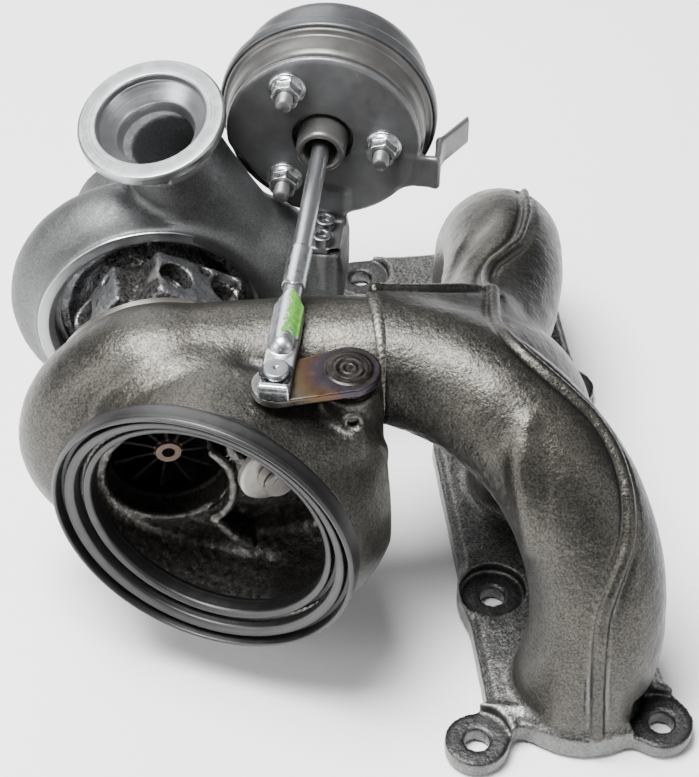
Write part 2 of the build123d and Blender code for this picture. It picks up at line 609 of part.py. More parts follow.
NODES = {
    "exhaust_manifold": manifold, "manifold_weld": weld, "turbine_housing": turbine_housing,
    "turbine_wheel": turbine_wheel, "rotor_shaft": shaft, "compressor_wheel": compressor_wheel,
    "shaft_nut": shaft_nut, "thrust_collar": thrust_collar, "oil_flinger": oil_flinger,
    "turbine_bearing": lambda: floating_bearing(2), "compressor_bearing": lambda: floating_bearing(24),
    "turbine_piston_ring": lambda: gap_ring(4.3, 8.1, -1.2, 0.2),
    "compressor_piston_ring": lambda: gap_ring(7.05, 7.55, 47.5, 48.7),
    "thrust_bearing": thrust_bearing, "oil_baffle": lambda: ring(ROTOR, 8.6, 17.9, 45.1, 46.0),
    "seal_plate": lambda: ring(ROTOR, 7.6, 17.9, 46.2, 50.0),
    "seal_plate_ring": lambda: gap_ring(15.5, 17.95, 50.1, 51.4),
    "bearing_housing": bearing_housing, "heat_shield": heat_shield,
    "turbine_clamp": turbine_clamp, "clamp_bolt": clamp_bolt, "clamp_nut": clamp_nut,
    "compressor_housing": compressor_housing,
    "housing_snap_ring": lambda: gap_ring(COMP_BORE_R - 2.4, COMP_BORE_R + 1.5, 44.3, 45.9),
    "wastegate_valve": wastegate_valve, "wastegate_washer": wastegate_washer,
    "wastegate_arm": wastegate_arm,
    "wastegate_shaft": wastegate_shaft, "wastegate_bush": wastegate_bush, "bush_pin": bush_pin,
    "wastegate_lever": lever, "lever_pin": pin, "pin_clip": e_clip, "rod_end": rod_end,
    "actuator_rod": actuator_rod, "actuator_front_shell": front_shell, "actuator_rear_shell": rear_shell,
    "diaphragm": diaphragm, "actuator_piston": piston, "actuator_spring": spring, "vacuum_nipple": nipple,
    "actuator_studs": studs, "actuator_nuts": nuts, "actuator_bracket": bracket,
    "bracket_screws": bracket_screws,
}

for node, build in NODES.items():
    save(build(), node)
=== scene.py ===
import math

import bpy
import bmesh
import numpy as np
from mathutils import Matrix


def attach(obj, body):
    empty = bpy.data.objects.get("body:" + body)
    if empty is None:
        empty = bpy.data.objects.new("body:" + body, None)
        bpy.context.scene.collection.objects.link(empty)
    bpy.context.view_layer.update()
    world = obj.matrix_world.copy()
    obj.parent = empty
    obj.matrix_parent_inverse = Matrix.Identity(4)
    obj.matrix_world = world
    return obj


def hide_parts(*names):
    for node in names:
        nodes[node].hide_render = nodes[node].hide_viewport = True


# All shapes are worked out in millimetres in the row frame and scaled when they become meshes.
MM = 0.001
FAR = 1e3

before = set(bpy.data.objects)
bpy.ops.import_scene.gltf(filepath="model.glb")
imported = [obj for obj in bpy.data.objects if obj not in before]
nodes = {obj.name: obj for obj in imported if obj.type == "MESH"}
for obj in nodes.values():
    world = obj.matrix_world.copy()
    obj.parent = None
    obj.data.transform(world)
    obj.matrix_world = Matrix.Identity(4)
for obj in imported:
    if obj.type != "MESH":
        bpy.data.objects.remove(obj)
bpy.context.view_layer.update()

# The frame's own datum points
ROTOR_X, ROTOR_Z = -130.0, 67.0
JOIN_X = -62.0
OUTLET_AT = (-123.0, -69.0, 72.0)
OUTLET_TURN = math.radians(25.9)
CHAMBER_AT = (-98.0, -50.0, 68.0)
PORT_AT = (-99.7, -46.0, 88.0)
PIVOT = (-73.7, -49.2)
PIN = (-96.6, -53.2)
LEVER_Z, LEVER_T, ROD_Z = 119.0, 3.0, 126.0
CAN_AT = (-69.2, 58.2, 126.0)
STUD_SPOTS = ((-12.0, 20.5), (20.6, -0.6), (-13.2, -18.0))
FOOT_X = 1.5
FOOT_SPOTS = (-12.6, -4.2)
DISCHARGE_AT = (-127.0, 58.2, 140.0)
DISCHARGE_AXIS = (-0.2, -0.2, 0.957)
PORT_PITCH = 91.0
HOLES = ((-37.9, -108.4), (23.6, -108.4), (-22.7, -49.0), (22.7, -49.0), (-22.7, 49.0), (22.7, 49.0),
         (-46.6, 118.5), (20.0, 118.5))


def unit(v):
    v = np.array(v, float)
    return v / np.linalg.norm(v)


class Place:
    """A local frame: a point with its x, y and z directions."""

    def __init__(self, at, z=(0, 0, 1), x=None):
        self.at = np.array(at, float)
        self.z = unit(z)
        if x is None:
            x = (1, 0, 0) if abs(self.z[0]) < 0.9 else (0, 1, 0)
        self.y = unit(np.cross(self.z, x))
        self.x = np.cross(self.y, self.z)

    def local(self, x, y, z):
        """Row coordinates in this frame's own axes."""
        x, y, z = x - self.at[0], y - self.at[1], z - self.at[2]
        return [(x * a[0] + y * a[1] + z * a[2]).astype(np.float32) for a in (self.x, self.y, self.z)]

    def out(self, points):
        """Points in this frame's axes as row coordinates."""
        points = np.atleast_2d(np.array(points, float))
        return self.at + points @ np.array([self.x, self.y, self.z])

    def shifted(self, x, y, z):
        return Place(self.out((x, y, z))[0], self.z, self.x)


ROTOR = Place((ROTOR_X, 0, ROTOR_Z), (0, 1, 0), (1, 0, 0))
TO_RIM = np.array((-math.sin(OUTLET_TURN), -math.cos(OUTLET_TURN), 0))
RIM = Place(OUTLET_AT, -TO_RIM)
ROD_AXIS = unit((CAN_AT[0] - PIN[0], CAN_AT[1] - PIN[1], 0))
CAN = Place(CAN_AT, ROD_AXIS, (ROD_AXIS[1], -ROD_AXIS[0], 0))
LEVER = Place((PIVOT[0], PIVOT[1], LEVER_Z), (0, 0, 1), (PIN[0] - PIVOT[0], PIN[1] - PIVOT[1], 0))
LEVER_REACH = math.hypot(PIN[0] - PIVOT[0], PIN[1] - PIVOT[1])
ALONG_ROD = Place((PIN[0], PIN[1], 0), (0, 0, 1), (ROD_AXIS[1], -ROD_AXIS[0], 0))
DISCHARGE = Place(DISCHARGE_AT, DISCHARGE_AXIS)


# The frame itself, the lever's upright shaft and the boss of the bush's retaining pin
WORLD = Place((0, 0, 0))
SHAFT = Place((*PIVOT, 0))
PIN_BOSS = Place((PIVOT[0], -58.6, 109), (0, -1, 0))


# Shapes: each is a list of (low corner, high corner, distance function)

def catmull(points, steps):
    """A smooth line through points of any width, Catmull-Rom."""
    p = np.array(points, float)
    p = np.vstack([2 * p[0] - p[1], p, 2 * p[-1] - p[-2]])
    t = np.linspace(0, 1, steps, endpoint=False)[:, None]
    spans = []
    for a, b, c, d in zip(p, p[1:], p[2:], p[3:]):
        spans.append(0.5 * (2 * b + (c - a) * t + (2 * a - 5 * b + 4 * c - d) * t ** 2
                            + (3 * b - a - 3 * c + d) * t ** 3))
    return np.vstack(spans + [p[-2:-1]])


def tube(points, radii, steps=6):
    """A round tube through points, with one radius for each or one for all."""
    radii = np.broadcast_to(np.array(radii, float), (len(points),))
    line = catmull(np.column_stack([np.array(points, float), radii]), steps)
    parts = []
    for a, b in zip(line, line[1:]):
        reach = max(a[3], b[3])

        def distance(x, y, z, a=a, b=b):
            d = b - a
            px, py, pz = x - a[0], y - a[1], z - a[2]
            h = np.clip((px * d[0] + py * d[1] + pz * d[2]) / (d[:3] @ d[:3] + 1e-9), 0, 1)
            span = np.sqrt((px - h * d[0]) ** 2 + (py - h * d[1]) ** 2 + (pz - h * d[2]) ** 2)
            return span - a[3] - h * d[3]
        parts.append((np.minimum(a, b)[:3] - reach, np.maximum(a, b)[:3] + reach, distance))
    return parts


def ball(at, radius):
    at = np.array(at, float)
    return [(at - radius, at + radius,
             lambda x, y, z: np.sqrt((x - at[0]) ** 2 + (y - at[1]) ** 2 + (z - at[2]) ** 2) - radius)]


def rounded_box(dx, dy, edge):
    """Distance from how far a point is past two pairs of faces, with rounded corners between them."""
    dx, dy = dx + edge, dy + edge
    outside = np.sqrt(np.maximum(dx, 0) ** 2 + np.maximum(dy, 0) ** 2)
    return np.minimum(np.maximum(dx, dy), 0) + outside - edge


def drum(place, radius, start, end, edge=0.6, top=None, sides=0):
    """A cylinder, cone or hexagon about a frame's z axis between two heights, with rounded rims."""
    top = radius if top is None else top

    def distance(x, y, z):
        u, v, w = place.local(x, y, z)
        r = np.sqrt(u * u + v * v)
        if sides:
            turn = np.arctan2(v, u)
            r = r * np.cos((turn + math.pi / sides) % (2 * math.pi / sides) - math.pi / sides)
        wanted = radius + (top - radius) * np.clip((w - start) / (end - start), 0, 1)
        return rounded_box(r - wanted, np.abs(w - (start + end) / 2) - (end - start) / 2, edge)
    ends = place.out([(0, 0, start), (0, 0, end)])
    reach = max(radius, top) * np.sqrt(np.maximum(1 - place.z ** 2, 0)) * (1.2 if sides else 1)
    return [(ends.min(0) - reach, ends.max(0) + reach, distance)]


def slab(place, low, high, edge=0.6):
    """A box between two corners in a frame's axes, with rounded edges."""
    low, high = np.array(low, float), np.array(high, float)
    middle, half = (low + high) / 2, (high - low) / 2

    def distance(x, y, z):
        u, v, w = [np.abs(c - m) - h for c, m, h in zip(place.local(x, y, z), middle, half)]
        u, v, w = u + edge, v + edge, w + edge
        outside = np.sqrt(np.maximum(u, 0) ** 2 + np.maximum(v, 0) ** 2 + np.maximum(w, 0) ** 2)
        return np.minimum(np.maximum(np.maximum(u, v), w), 0) + outside - edge
    corners = place.out([(x, y, z) for x in (low[0], high[0]) for y in (low[1], high[1])
                         for z in (low[2], high[2])])
    return [(corners.min(0), corners.max(0), distance)]


def plate(outline, low, high, edge=0.6):
    """An upright extrusion of a plan distance function between two corners."""
    low, high = np.array(low, float), np.array(high, float)

    def distance(x, y, z):
        return rounded_box(outline(x, y), np.abs(z - (low[2] + high[2]) / 2) - (high[2] - low[2]) / 2, edge)
    return [(low, high, distance)]


def disc(x, y, at, radius):
    return np.sqrt((x - at[0]) ** 2 + (y - at[1]) ** 2) - radius


def oblong(x, y, low, high):
    return rounded_box(np.abs(x - (low[0] + high[0]) / 2) - (high[0] - low[0]) / 2,
                       np.abs(y - (low[1] + high[1]) / 2) - (high[1] - low[1]) / 2, 0)


def soft_min(a, b, blend):
    if blend <= 0:
        return np.minimum(a, b)
    h = np.maximum(blend - np.abs(a - b), 0) / blend
    return np.minimum(a, b) - h * h * blend / 4


class Clay:
    """A body built up as a distance field on a grid. Shapes blend in or cut away, then it is meshed."""

    def __init__(self, low, high, step):
        self.step = step * 1
        self.low = np.array(low, float) - 2 * self.step
        counts = np.ceil((np.array(high) + 2 * self.step - self.low) / self.step).astype(int) + 1
        self.field = np.full(counts, FAR, np.float32)

    def blank(self):
        """An empty body on the same grid."""
        other = Clay(self.low, self.low, 1.0)
        other.low, other.step, other.field = self.low, self.step, np.full(self.field.shape, FAR, np.float32)
        return other

    def window(self, low, high):
        first = np.floor((low - self.low) / self.step).astype(int)
        last = np.ceil((high - self.low) / self.step).astype(int) + 1
        size = np.array(self.field.shape)
        return tuple(slice(a, b) for a, b in zip(np.clip(first, 0, size), np.clip(last, 0, size)))

    def axes(self, window):
        spots = [self.low[i] + self.step * np.arange(w.start, w.stop) for i, w in enumerate(window)]
        return [s.astype(np.float32).reshape([-1 if i == j else 1 for j in range(3)])
                for i, s in enumerate(spots)]

    def sample(self, shape, margin):
        """The plain union of a shape's parts on the window round them."""
        margin = max(margin, 4) + 2 * self.step
        low = np.min([part[0] for part in shape], 0) - margin
        high = np.max([part[1] for part in shape], 0) + margin
        window = self.window(low, high)
        field = np.full([w.stop - w.start for w in window], FAR, np.float32)
        for low, high, distance in shape:
            part = self.window(low - margin, high + margin)
            if all(p.stop > p.start for p in part):
                inner = tuple(slice(p.start - w.start, p.stop - w.start) for p, w in zip(part, window))
                field[inner] = np.minimum(field[inner], distance(*self.axes(part)))
        return window, field

    def add(self, shape, blend=0.0):
        window, new = self.sample(shape, blend)
        self.field[window] = soft_min(self.field[window], new, blend)

    def cut(self, shape, blend=0.0):
        window, new = self.sample(shape, blend)
        self.field[window] = -soft_min(-self.field[window], new, blend)

    def at(self, points):
        """The distance at points, between grid values."""
        spots = (np.array(points, float) - self.low) / self.step
        size = np.array(self.field.shape)
        base = np.clip(np.floor(spots).astype(int), 0, size - 2)
        f = np.clip(spots - base, 0, 1)
        total = np.zeros(len(spots))
        for i in (0, 1):
            for j in (0, 1):
                for k in (0, 1):
                    weight = (np.abs(1 - i - f[:, 0]) * np.abs(1 - j - f[:, 1]) * np.abs(1 - k - f[:, 2]))
                    value = self.field[base[:, 0] + i, base[:, 1] + j, base[:, 2] + k]
                    total += weight * np.clip(value, -20, 20)
        return total

    def slope(self, points):
        """The outward direction at points."""
        points = np.array(points, float)
        h = self.step
        parts = [self.at(points + h * e) - self.at(points - h * e) for e in np.eye(3)]
        slope = np.column_stack(parts)
        return slope / (np.linalg.norm(slope, axis=1)[:, None] + 1e-9)

    def snap(self, points, lift=0.0):
        """Points moved onto the surface, or that far above it."""
        points = np.array(points, float)
        for _ in range(12):
            points = points - (self.at(points)[:, None] - lift) * self.slope(points) * 0.8
        return points

    def mesh(self):
        """Surface nets: one vertex in each cell the surface crosses."""
        inside = self.field < 0
        size = inside.shape
        corners = [(i, j, k) for i in (0, 1) for j in (0, 1) for k in (0, 1)]
        count = np.zeros([s - 1 for s in size], np.uint8)
        for c in corners:
            count += inside[c[0]:size[0] - 1 + c[0], c[1]:size[1] - 1 + c[1], c[2]:size[2] - 1 + c[2]]
        cells = np.argwhere((count > 0) & (count < 8))
        index = np.full(count.shape, -1, np.int64)
        index[tuple(cells.T)] = np.arange(len(cells))
        values = [self.field[tuple((cells + c).T)] for c in corners]
        points = np.zeros((len(cells), 3))
        hits = np.zeros(len(cells))
        for i, a in enumerate(corners):
            for j, b in enumerate(corners):
                if j > i and sum(abs(p - q) for p, q in zip(a, b)) == 1:
                    crossed = (values[i] < 0) != (values[j] < 0)
                    t = np.where(crossed, values[i] / (values[i] - values[j] + 1e-12), 0)
                    points += crossed[:, None] * (np.array(a) + t[:, None] * (np.array(b) - np.array(a)))
                    hits += crossed
        points = self.low + self.step * (cells + points / hits[:, None])
        quads = []
        for axis in range(3):
            b, c = np.eye(3, dtype=int)[(axis + 1) % 3], np.eye(3, dtype=int)[(axis + 2) % 3]
            lower = [slice(0, -1) if i == axis else slice(1, -1) for i in range(3)]
            upper = [slice(1, None) if i == axis else slice(1, -1) for i in range(3)]
            first, second = inside[tuple(lower)], inside[tuple(upper)]
            for leaving in (True, False):
                spots = np.argwhere((first == leaving) & (second != leaving))
                spots += [0 if i == axis else 1 for i in range(3)]
                ring = [index[tuple((spots + o).T)] for o in (-b - c, -c, 0 * b, -b)]
                quads.append(np.column_stack(ring if leaving else ring[::-1]))
        return points, np.vstack(quads)


def value_noise(points, size, seed):
    """Smooth noise between -1 and 1 with features of about the given size."""
    table = np.random.default_rng(seed).uniform(-1, 1, (32, 32, 32))
    spots = points / size
    base = np.floor(spots).astype(int)
    f = spots - base
    f = f * f * (3 - 2 * f)
    total = np.zeros(len(points))
    for i in (0, 1):
        for j in (0, 1):
            for k in (0, 1):
                weight = np.abs(1 - i - f[:, 0]) * np.abs(1 - j - f[:, 1]) * np.abs(1 - k - f[:, 2])
                total += weight * table[(base[:, 0] + i) % 32, (base[:, 1] + j) % 32, (base[:, 2] + k) % 32]
    return total


# Meshes and pieces

def new_mesh(name, points, faces, smooth=True):
    """A mesh from millimetre points and index rows of one length."""
    mesh = bpy.data.meshes.new(name)
    faces = np.array(faces)
    mesh.vertices.add(len(points))
    mesh.vertices.foreach_set("co", (np.array(points) * MM).astype(np.float32).ravel())
    width = faces.shape[1]
    mesh.loops.add(faces.size)
    mesh.loops.foreach_set("vertex_index", faces.astype(np.int32).ravel())
    mesh.polygons.add(len(faces))
    mesh.polygons.foreach_set("loop_start", np.arange(0, faces.size, width, dtype=np.int32))
    mesh.polygons.foreach_set("use_smooth", np.full(len(faces), smooth))
    mesh.update(calc_edges=True)
    return mesh


def add_piece(name, mesh, body, look, replaced=()):
    """A finished mesh as a piece that rides on a body."""
    obj = bpy.data.objects.new(name, mesh)
    bpy.context.scene.collection.objects.link(obj)
    mesh.materials.clear()
    mesh.materials.append(look)
    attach(obj, body)
    if replaced:
        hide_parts(*replaced)
    return obj


def clay_piece(clay, name, body, look, replaced=(), uneven=0.0, seed=1, rough=None):
    """A clay body as a piece, with casting unevenness, its creases marked for painted shade and its edges marked
    for wear in the material.
    """
    points, quads = clay.mesh()
    normals = clay.slope(points)
    reach = 4 * clay.step
    # crease: how closed in the surface is a few cells out; the materials use it to paint shade into creases
    crease = np.clip(1 - clay.at(points + normals * reach) / reach, 0, 1)
    edge = np.clip(1 + clay.at(points - normals * 1.5) / 1.5, 0, 1)
    if uneven:
        bumps = value_noise(points, 9, seed) + 0.5 * value_noise(points, 4, seed + 1)
        if rough is not None:
            bumps = bumps + rough(points) * value_noise(points, 1.7, seed + 2)
        points = points + normals * (bumps * uneven)[:, None]
    mesh = new_mesh(name, points, quads)
    for label, values in (("crease", crease), ("edge", edge)):
        mesh.attributes.new(label, "FLOAT", "POINT").data.foreach_set("value", values.astype(np.float32))
    return add_piece(name, mesh, body, look, replaced)


def sharpen(mesh, degrees=32):
    """Mark edges sharper than an angle, so that flat faces stay flat under smooth shading."""
    bm = bmesh.new()
    bm.from_mesh(mesh)
    bmesh.ops.remove_doubles(bm, verts=bm.verts, dist=1e-7)
    bmesh.ops.recalc_face_normals(bm, faces=bm.faces)
    for e in bm.edges:
        e.smooth = e.calc_face_angle(0) < math.radians(degrees)
    for f in bm.faces:
        f.smooth = True
    bm.to_mesh(mesh)
    bm.free()
    return mesh


def round_corners(outline, radius):
    """A closed outline with each corner replaced by a short curve."""
    p = np.array(outline, float)
    made = []
    for before, here, after in zip(np.roll(p, 1, 0), p, np.roll(p, -1, 0)):
        a, b = before - here, after - here
        cut = min(radius, np.linalg.norm(a) / 2.2, np.linalg.norm(b) / 2.2)
        start, end = here + unit(a) * cut, here + unit(b) * cut
        for t in (0, 1 / 3, 2 / 3, 1):
            made.append((1 - t) ** 2 * start + 2 * t * (1 - t) * here + t * t * end)
    return np.array(made)


def lathe(name, place, outline, radius=0.25, count=144):
    """A closed (radius, height) section turned about a frame's z axis."""
    section = round_corners(outline, radius)
    turn = np.linspace(0, 2 * math.pi, count, endpoint=False)
    r = np.broadcast_to(section[:, 0], (count, len(section)))
    local = np.stack([r * np.cos(turn)[:, None], r * np.sin(turn)[:, None],
                      np.broadcast_to(section[:, 1], r.shape)], -1).reshape(-1, 3)
    n = len(section)
    i, j = np.meshgrid(np.arange(count), np.arange(n), indexing="ij")
    faces = np.stack([i * n + j, ((i + 1) % count) * n + j, ((i + 1) % count) * n + (j + 1) % n,
                      i * n + (j + 1) % n], -1).reshape(-1, 4)
    return sharpen(new_mesh(name, place.out(local), faces))


# Materials: procedural node trees, in metres on the object's own coordinates

class Look:
    """A material being built: nodes are added by short calls that give back their output sockets."""

    def __init__(self, name, metallic=1.0, specular=0.5, coat=0.0):
        self.material = bpy.data.materials.new(name)
        self.material.use_nodes = True
        self.tree = self.material.node_tree
        self.tree.nodes.clear()
        self.shader = self.tree.nodes.new("ShaderNodeBsdfPrincipled")
        output = self.tree.nodes.new("ShaderNodeOutputMaterial")
        self.tree.links.new(self.shader.outputs[0], output.inputs[0])
        self.shader.inputs["Metallic"].default_value = metallic
        self.shader.inputs["Specular IOR Level"].default_value = specular
        self.shader.inputs["Coat Weight"].default_value = coat
        self.spot = self.tree.nodes.new("ShaderNodeTexCoord").outputs["Object"]

    def node(self, kind, inputs, **settings):
        made = self.tree.nodes.new(kind)
        for key, value in settings.items():
            setattr(made, key, value)
        for key, value in inputs.items():
            self.feed(made.inputs[key], value)
        return made

    def feed(self, socket, value):
        if isinstance(value, bpy.types.NodeSocket):
            self.tree.links.new(value, socket)
        elif isinstance(value, tuple) and len(value) == 3 and socket.type == "RGBA":
            socket.default_value = (*value, 1)
        else:
            socket.default_value = value

    def noise(self, size, detail=2.0, roughness=0.5, at=None):
        """Noise between 0 and 1 with grains of a size in millimetres."""
        made = self.node("ShaderNodeTexNoise", {"Vector": self.spot if at is None else at,
                                                "Scale": 1000 / size, "Detail": detail, "Roughness": roughness})
        return made.outputs["Fac"]

    def math(self, kind, a, b=0.0):
        made = self.node("ShaderNodeMath", {0: a, 1: b}, operation=kind)
        return made.outputs[0]

    def span(self, value, low, high, to_low=0.0, to_high=1.0):
        """A value mapped from one range to another, clamped and eased."""
        made = self.node("ShaderNodeMapRange", {"Value": value, "From Min": low, "From Max": high,
                                                "To Min": to_low, "To Max": to_high},
                         interpolation_type="SMOOTHSTEP")
        return made.outputs[0]

    def mix(self, factor, a, b):
        made = self.node("ShaderNodeMix", {}, data_type="RGBA")
        for socket, value in ((made.inputs[0], factor), (made.inputs[6], a), (made.inputs[7], b)):
            self.feed(socket, value)
        return made.outputs[2]

    def ramp(self, value, *stops):
        """Colours along a value: (position, (r, g, b)) stops."""
        made = self.node("ShaderNodeValToRGB", {"Fac": value})
        elements = made.color_ramp.elements
        while len(elements) < len(stops):
            elements.new(0.5)
        for element, (position, colour) in zip(elements, stops):
            element.position = position
            element.color = (*colour, 1)
        return made.outputs["Color"]

    def attribute(self, name):
        return self.node("ShaderNodeAttribute", {}, attribute_name=name).outputs["Fac"]

    def axis(self, name, source="Position"):
        """One coordinate of the position, in metres, or of the surface's direction."""
        if source == "Position":
            vector = self.spot
        else:
            vector = self.node("ShaderNodeTexCoord", {}).outputs["Normal"]
        return self.node("ShaderNodeSeparateXYZ", {0: vector}).outputs[name]

    def local(self, place):
        """The x, y, z coordinates of a frame, in millimetres, and the distance from its z axis."""
        shifted = self.node("ShaderNodeVectorMath", {0: self.spot, 1: tuple(place.at * MM)},
                            operation="SUBTRACT").outputs[0]
        parts = []
        for direction in (place.x, place.y, place.z):
            dot = self.node("ShaderNodeVectorMath", {0: shifted, 1: tuple(direction * 1000)},
                            operation="DOT_PRODUCT")
            parts.append(dot.outputs["Value"])
        radius = self.math("SQRT", self.math("ADD", self.math("MULTIPLY", parts[0], parts[0]),
                                             self.math("MULTIPLY", parts[1], parts[1])))
        return parts + [radius]

    def vector(self, x, y, z):
        return self.node("ShaderNodeCombineXYZ", {0: x, 1: y, 2: z}).outputs[0]

    def turned_marks(self, place, pitch=0.5):
        """Fine lathe marks about a frame's z axis, as noise between 0 and 1 along radius and height."""
        _, _, z, r = self.local(place)
        line = self.vector(self.math("MULTIPLY", r, 0.001), self.math("MULTIPLY", z, 0.001), 0.0)
        return self.noise(pitch, 3.0, 0.65, at=line)

    def bump(self, height, depth, under=None, strength=1.0):
        """Bump of a depth in millimetres, over another bump if given."""
        inputs = {"Height": height, "Distance": depth * MM, "Strength": strength}
        if under is not None:
            inputs["Normal"] = under
        return self.node("ShaderNodeBump", inputs).outputs[0]

    def finish(self, colour, roughness, normal=None, metallic=None):
        self.feed(self.shader.inputs["Base Color"], colour)
        self.feed(self.shader.inputs["Roughness"], roughness)
        if metallic is not None:
            self.feed(self.shader.inputs["Metallic"], metallic)
        if normal is not None:
            self.feed(self.shader.inputs["Normal"], normal)
        return self.material


def shaded(look, colour, crease=0.6, edge=0.25):
    """Colour with painted shade darkening the creases, and lightened along worn edges, from the marks on clay
    meshes.
    """
    # Painted shade: creases are darkened towards near black.
    dark = look.math("MULTIPLY", look.span(look.attribute("crease"), 0.08, 0.9), crease)
    colour = look.mix(dark, colour, (0.012, 0.012, 0.012))
    light = look.math("MULTIPLY", look.span(look.attribute("edge"), 0.35, 0.95), edge)
    return look.mix(light, colour, (0.62, 0.60, 0.57))


def blasted(look):
    """The grain that the blasted castings share: colour, roughness and bump, with painted shade on faces turned
    downward.
    """
    patches = look.noise(26, 3.0, 0.55)
    grain = look.noise(0.75, 3.0, 0.7)
    specks = look.noise(1.7, 2.0, 0.5)
    colour = look.ramp(patches, (0.30, (0.030, 0.029, 0.028)), (0.50, (0.043, 0.041, 0.037)),
                       (0.68, (0.062, 0.058, 0.050)))
    colour = look.mix(look.span(grain, 0.30, 0.72), look.mix(0.45, colour, (0.014, 0.013, 0.012)),
                      look.mix(0.10, colour, (0.60, 0.57, 0.49)))
    colour = look.mix(look.span(specks, 0.62, 0.75, 0, 0.25), colour, (0.020, 0.019, 0.017))
    # Painted shade: faces turned downward are darkened towards near black.
    down = look.span(look.axis("Z", "Normal"), 0.30, -0.70)
    colour = look.mix(look.math("MULTIPLY", down, 0.55), colour, (0.020, 0.020, 0.022))
    roughness = look.span(look.noise(3.5, 3.0, 0.6), 0.25, 0.75, 0.30, 0.42)
    bump = look.bump(specks, 0.20, look.bump(grain, 0.15))
    return grain, colour, roughness, look.bump(look.noise(9, 2.0, 0.5), 0.5, bump, 0.7)


def manifold_look():
    """Blasted cast steel with black scale on top of the flange and milled flange sides, and painted shade on faces
    turned towards +X and +Y, downward and in creases.
    """
    look = Look("manifold_cast_steel", metallic=0.9)
    grain, colour, roughness, bump = blasted(look)
    # Painted shade: faces turned towards +X, and less towards +Y, are darkened by up to 88 percent towards near
    # black.
    away = look.math("ADD", look.axis("X", "Normal"), look.math("MULTIPLY", look.axis("Y", "Normal"), 0.35))
    colour = look.mix(look.span(away, 0.10, 0.65, 0, 0.88), colour, (0.009, 0.010, 0.012))
    height, facing = look.axis("Z"), look.axis("Z", "Normal")
    top = look.math("MULTIPLY", look.span(height, 0.0150, 0.0108), look.span(facing, 0.25, 0.75))
    black = look.mix(look.span(grain, 0.35, 0.70), (0.055, 0.055, 0.055), (0.240, 0.236, 0.228))
    colour = look.mix(look.math("MULTIPLY", top, 0.93), colour, black)
    side = look.math("MULTIPLY", look.span(height, 0.0100, 0.0086), look.span(facing, 0.55, 0.30))
    milled = look.mix(look.span(look.noise(0.9, 3.0, 0.6), 0.3, 0.7), (0.10, 0.10, 0.10), (0.19, 0.19, 0.185))
    colour = look.mix(look.math("MULTIPLY", side, 0.85), colour, milled)
    spot = None
    for at in HOLES:
        _, _, _, r = look.local(Place((*at, 0)))
        near = look.span(r, EAR_R + 0.4, EAR_R - 0.4)
        spot = near if spot is None else look.math("MAXIMUM", spot, near)
    spot = look.math("MULTIPLY", spot, look.span(height, 0.0072, 0.0068))
    faced = look.mix(look.span(look.noise(0.7, 3.0), 0.3, 0.7), (0.036, 0.036, 0.037), (0.085, 0.084, 0.083))
    colour = look.mix(look.math("MULTIPLY", spot, look.span(facing, 0.6, 0.9)), colour, faced)
    roughness = look.math("ADD", roughness, look.math("MULTIPLY", top, 0.05))
    return look.finish(shaded(look, colour, 0.85, 0.22), roughness, bump)


def milled_steel(name, place, tones, pitch=0.45, roughness=0.30, depth=0.03):
    """Machined metal with turned marks about an axis, a little uneven and spotted."""
    look = Look(name)
    marks = look.turned_marks(place, pitch)
    broad = look.noise(12, 3.0, 0.6)
    colour = look.mix(look.span(marks, 0.3, 0.7), tones[0], tones[1])
    colour = look.mix(look.span(broad, 0.35, 0.75, 0, 0.35), colour, tones[2])
    rough = look.math("ADD", look.span(marks, 0.2, 0.8, roughness, roughness + 0.12),
                      look.span(look.noise(4, 3.0, 0.6), 0.4, 0.8, 0, 0.08))
    return look.finish(colour, rough, look.bump(marks, depth, look.bump(look.noise(1.1, 3.0), 0.02)))


def cast_aluminium():
    """Fine sand-cast aluminium, mid grey with a soft grain, with painted shade in the creases and inside the
    discharge duct.
    """
    look = Look("cast_aluminium_fine", metallic=0.88)
    grain = look.noise(0.6, 3.0, 0.7)
    patches = look.noise(22, 3.0, 0.5)
    colour = look.ramp(patches, (0.30, (0.085, 0.087, 0.089)), (0.70, (0.112, 0.114, 0.116)))
    colour = look.mix(look.span(grain, 0.28, 0.74), look.mix(0.18, colour, (0.04, 0.04, 0.04)),
                      look.mix(0.12, colour, (0.72, 0.72, 0.72)))
    colour = shaded(look, colour, 0.7, 0.30)
    # Painted shade: the discharge duct's bore, from 12 to 50 mm deep, is darkened; it is also made rougher.
    _, _, depth, r = look.local(DISCHARGE)
    duct = look.math("MULTIPLY", look.span(r, 15.0, 14.0), look.span(depth, -11.0, -12.5))
    duct = look.math("MULTIPLY", duct, look.span(depth, -50.0, -45.0))
    shade = look.mix(look.span(grain, 0.3, 0.7), (0.045, 0.046, 0.048), (0.085, 0.086, 0.088))
    colour = look.mix(duct, colour, shade)
    roughness = look.span(look.noise(2.6, 3.0, 0.6), 0.3, 0.7, 0.46, 0.58)
    bump = look.bump(grain, 0.07, look.bump(look.noise(6, 2.0), 0.16))
    return look.finish(colour, look.math("ADD", roughness, look.math("MULTIPLY", duct, 0.25)), bump)


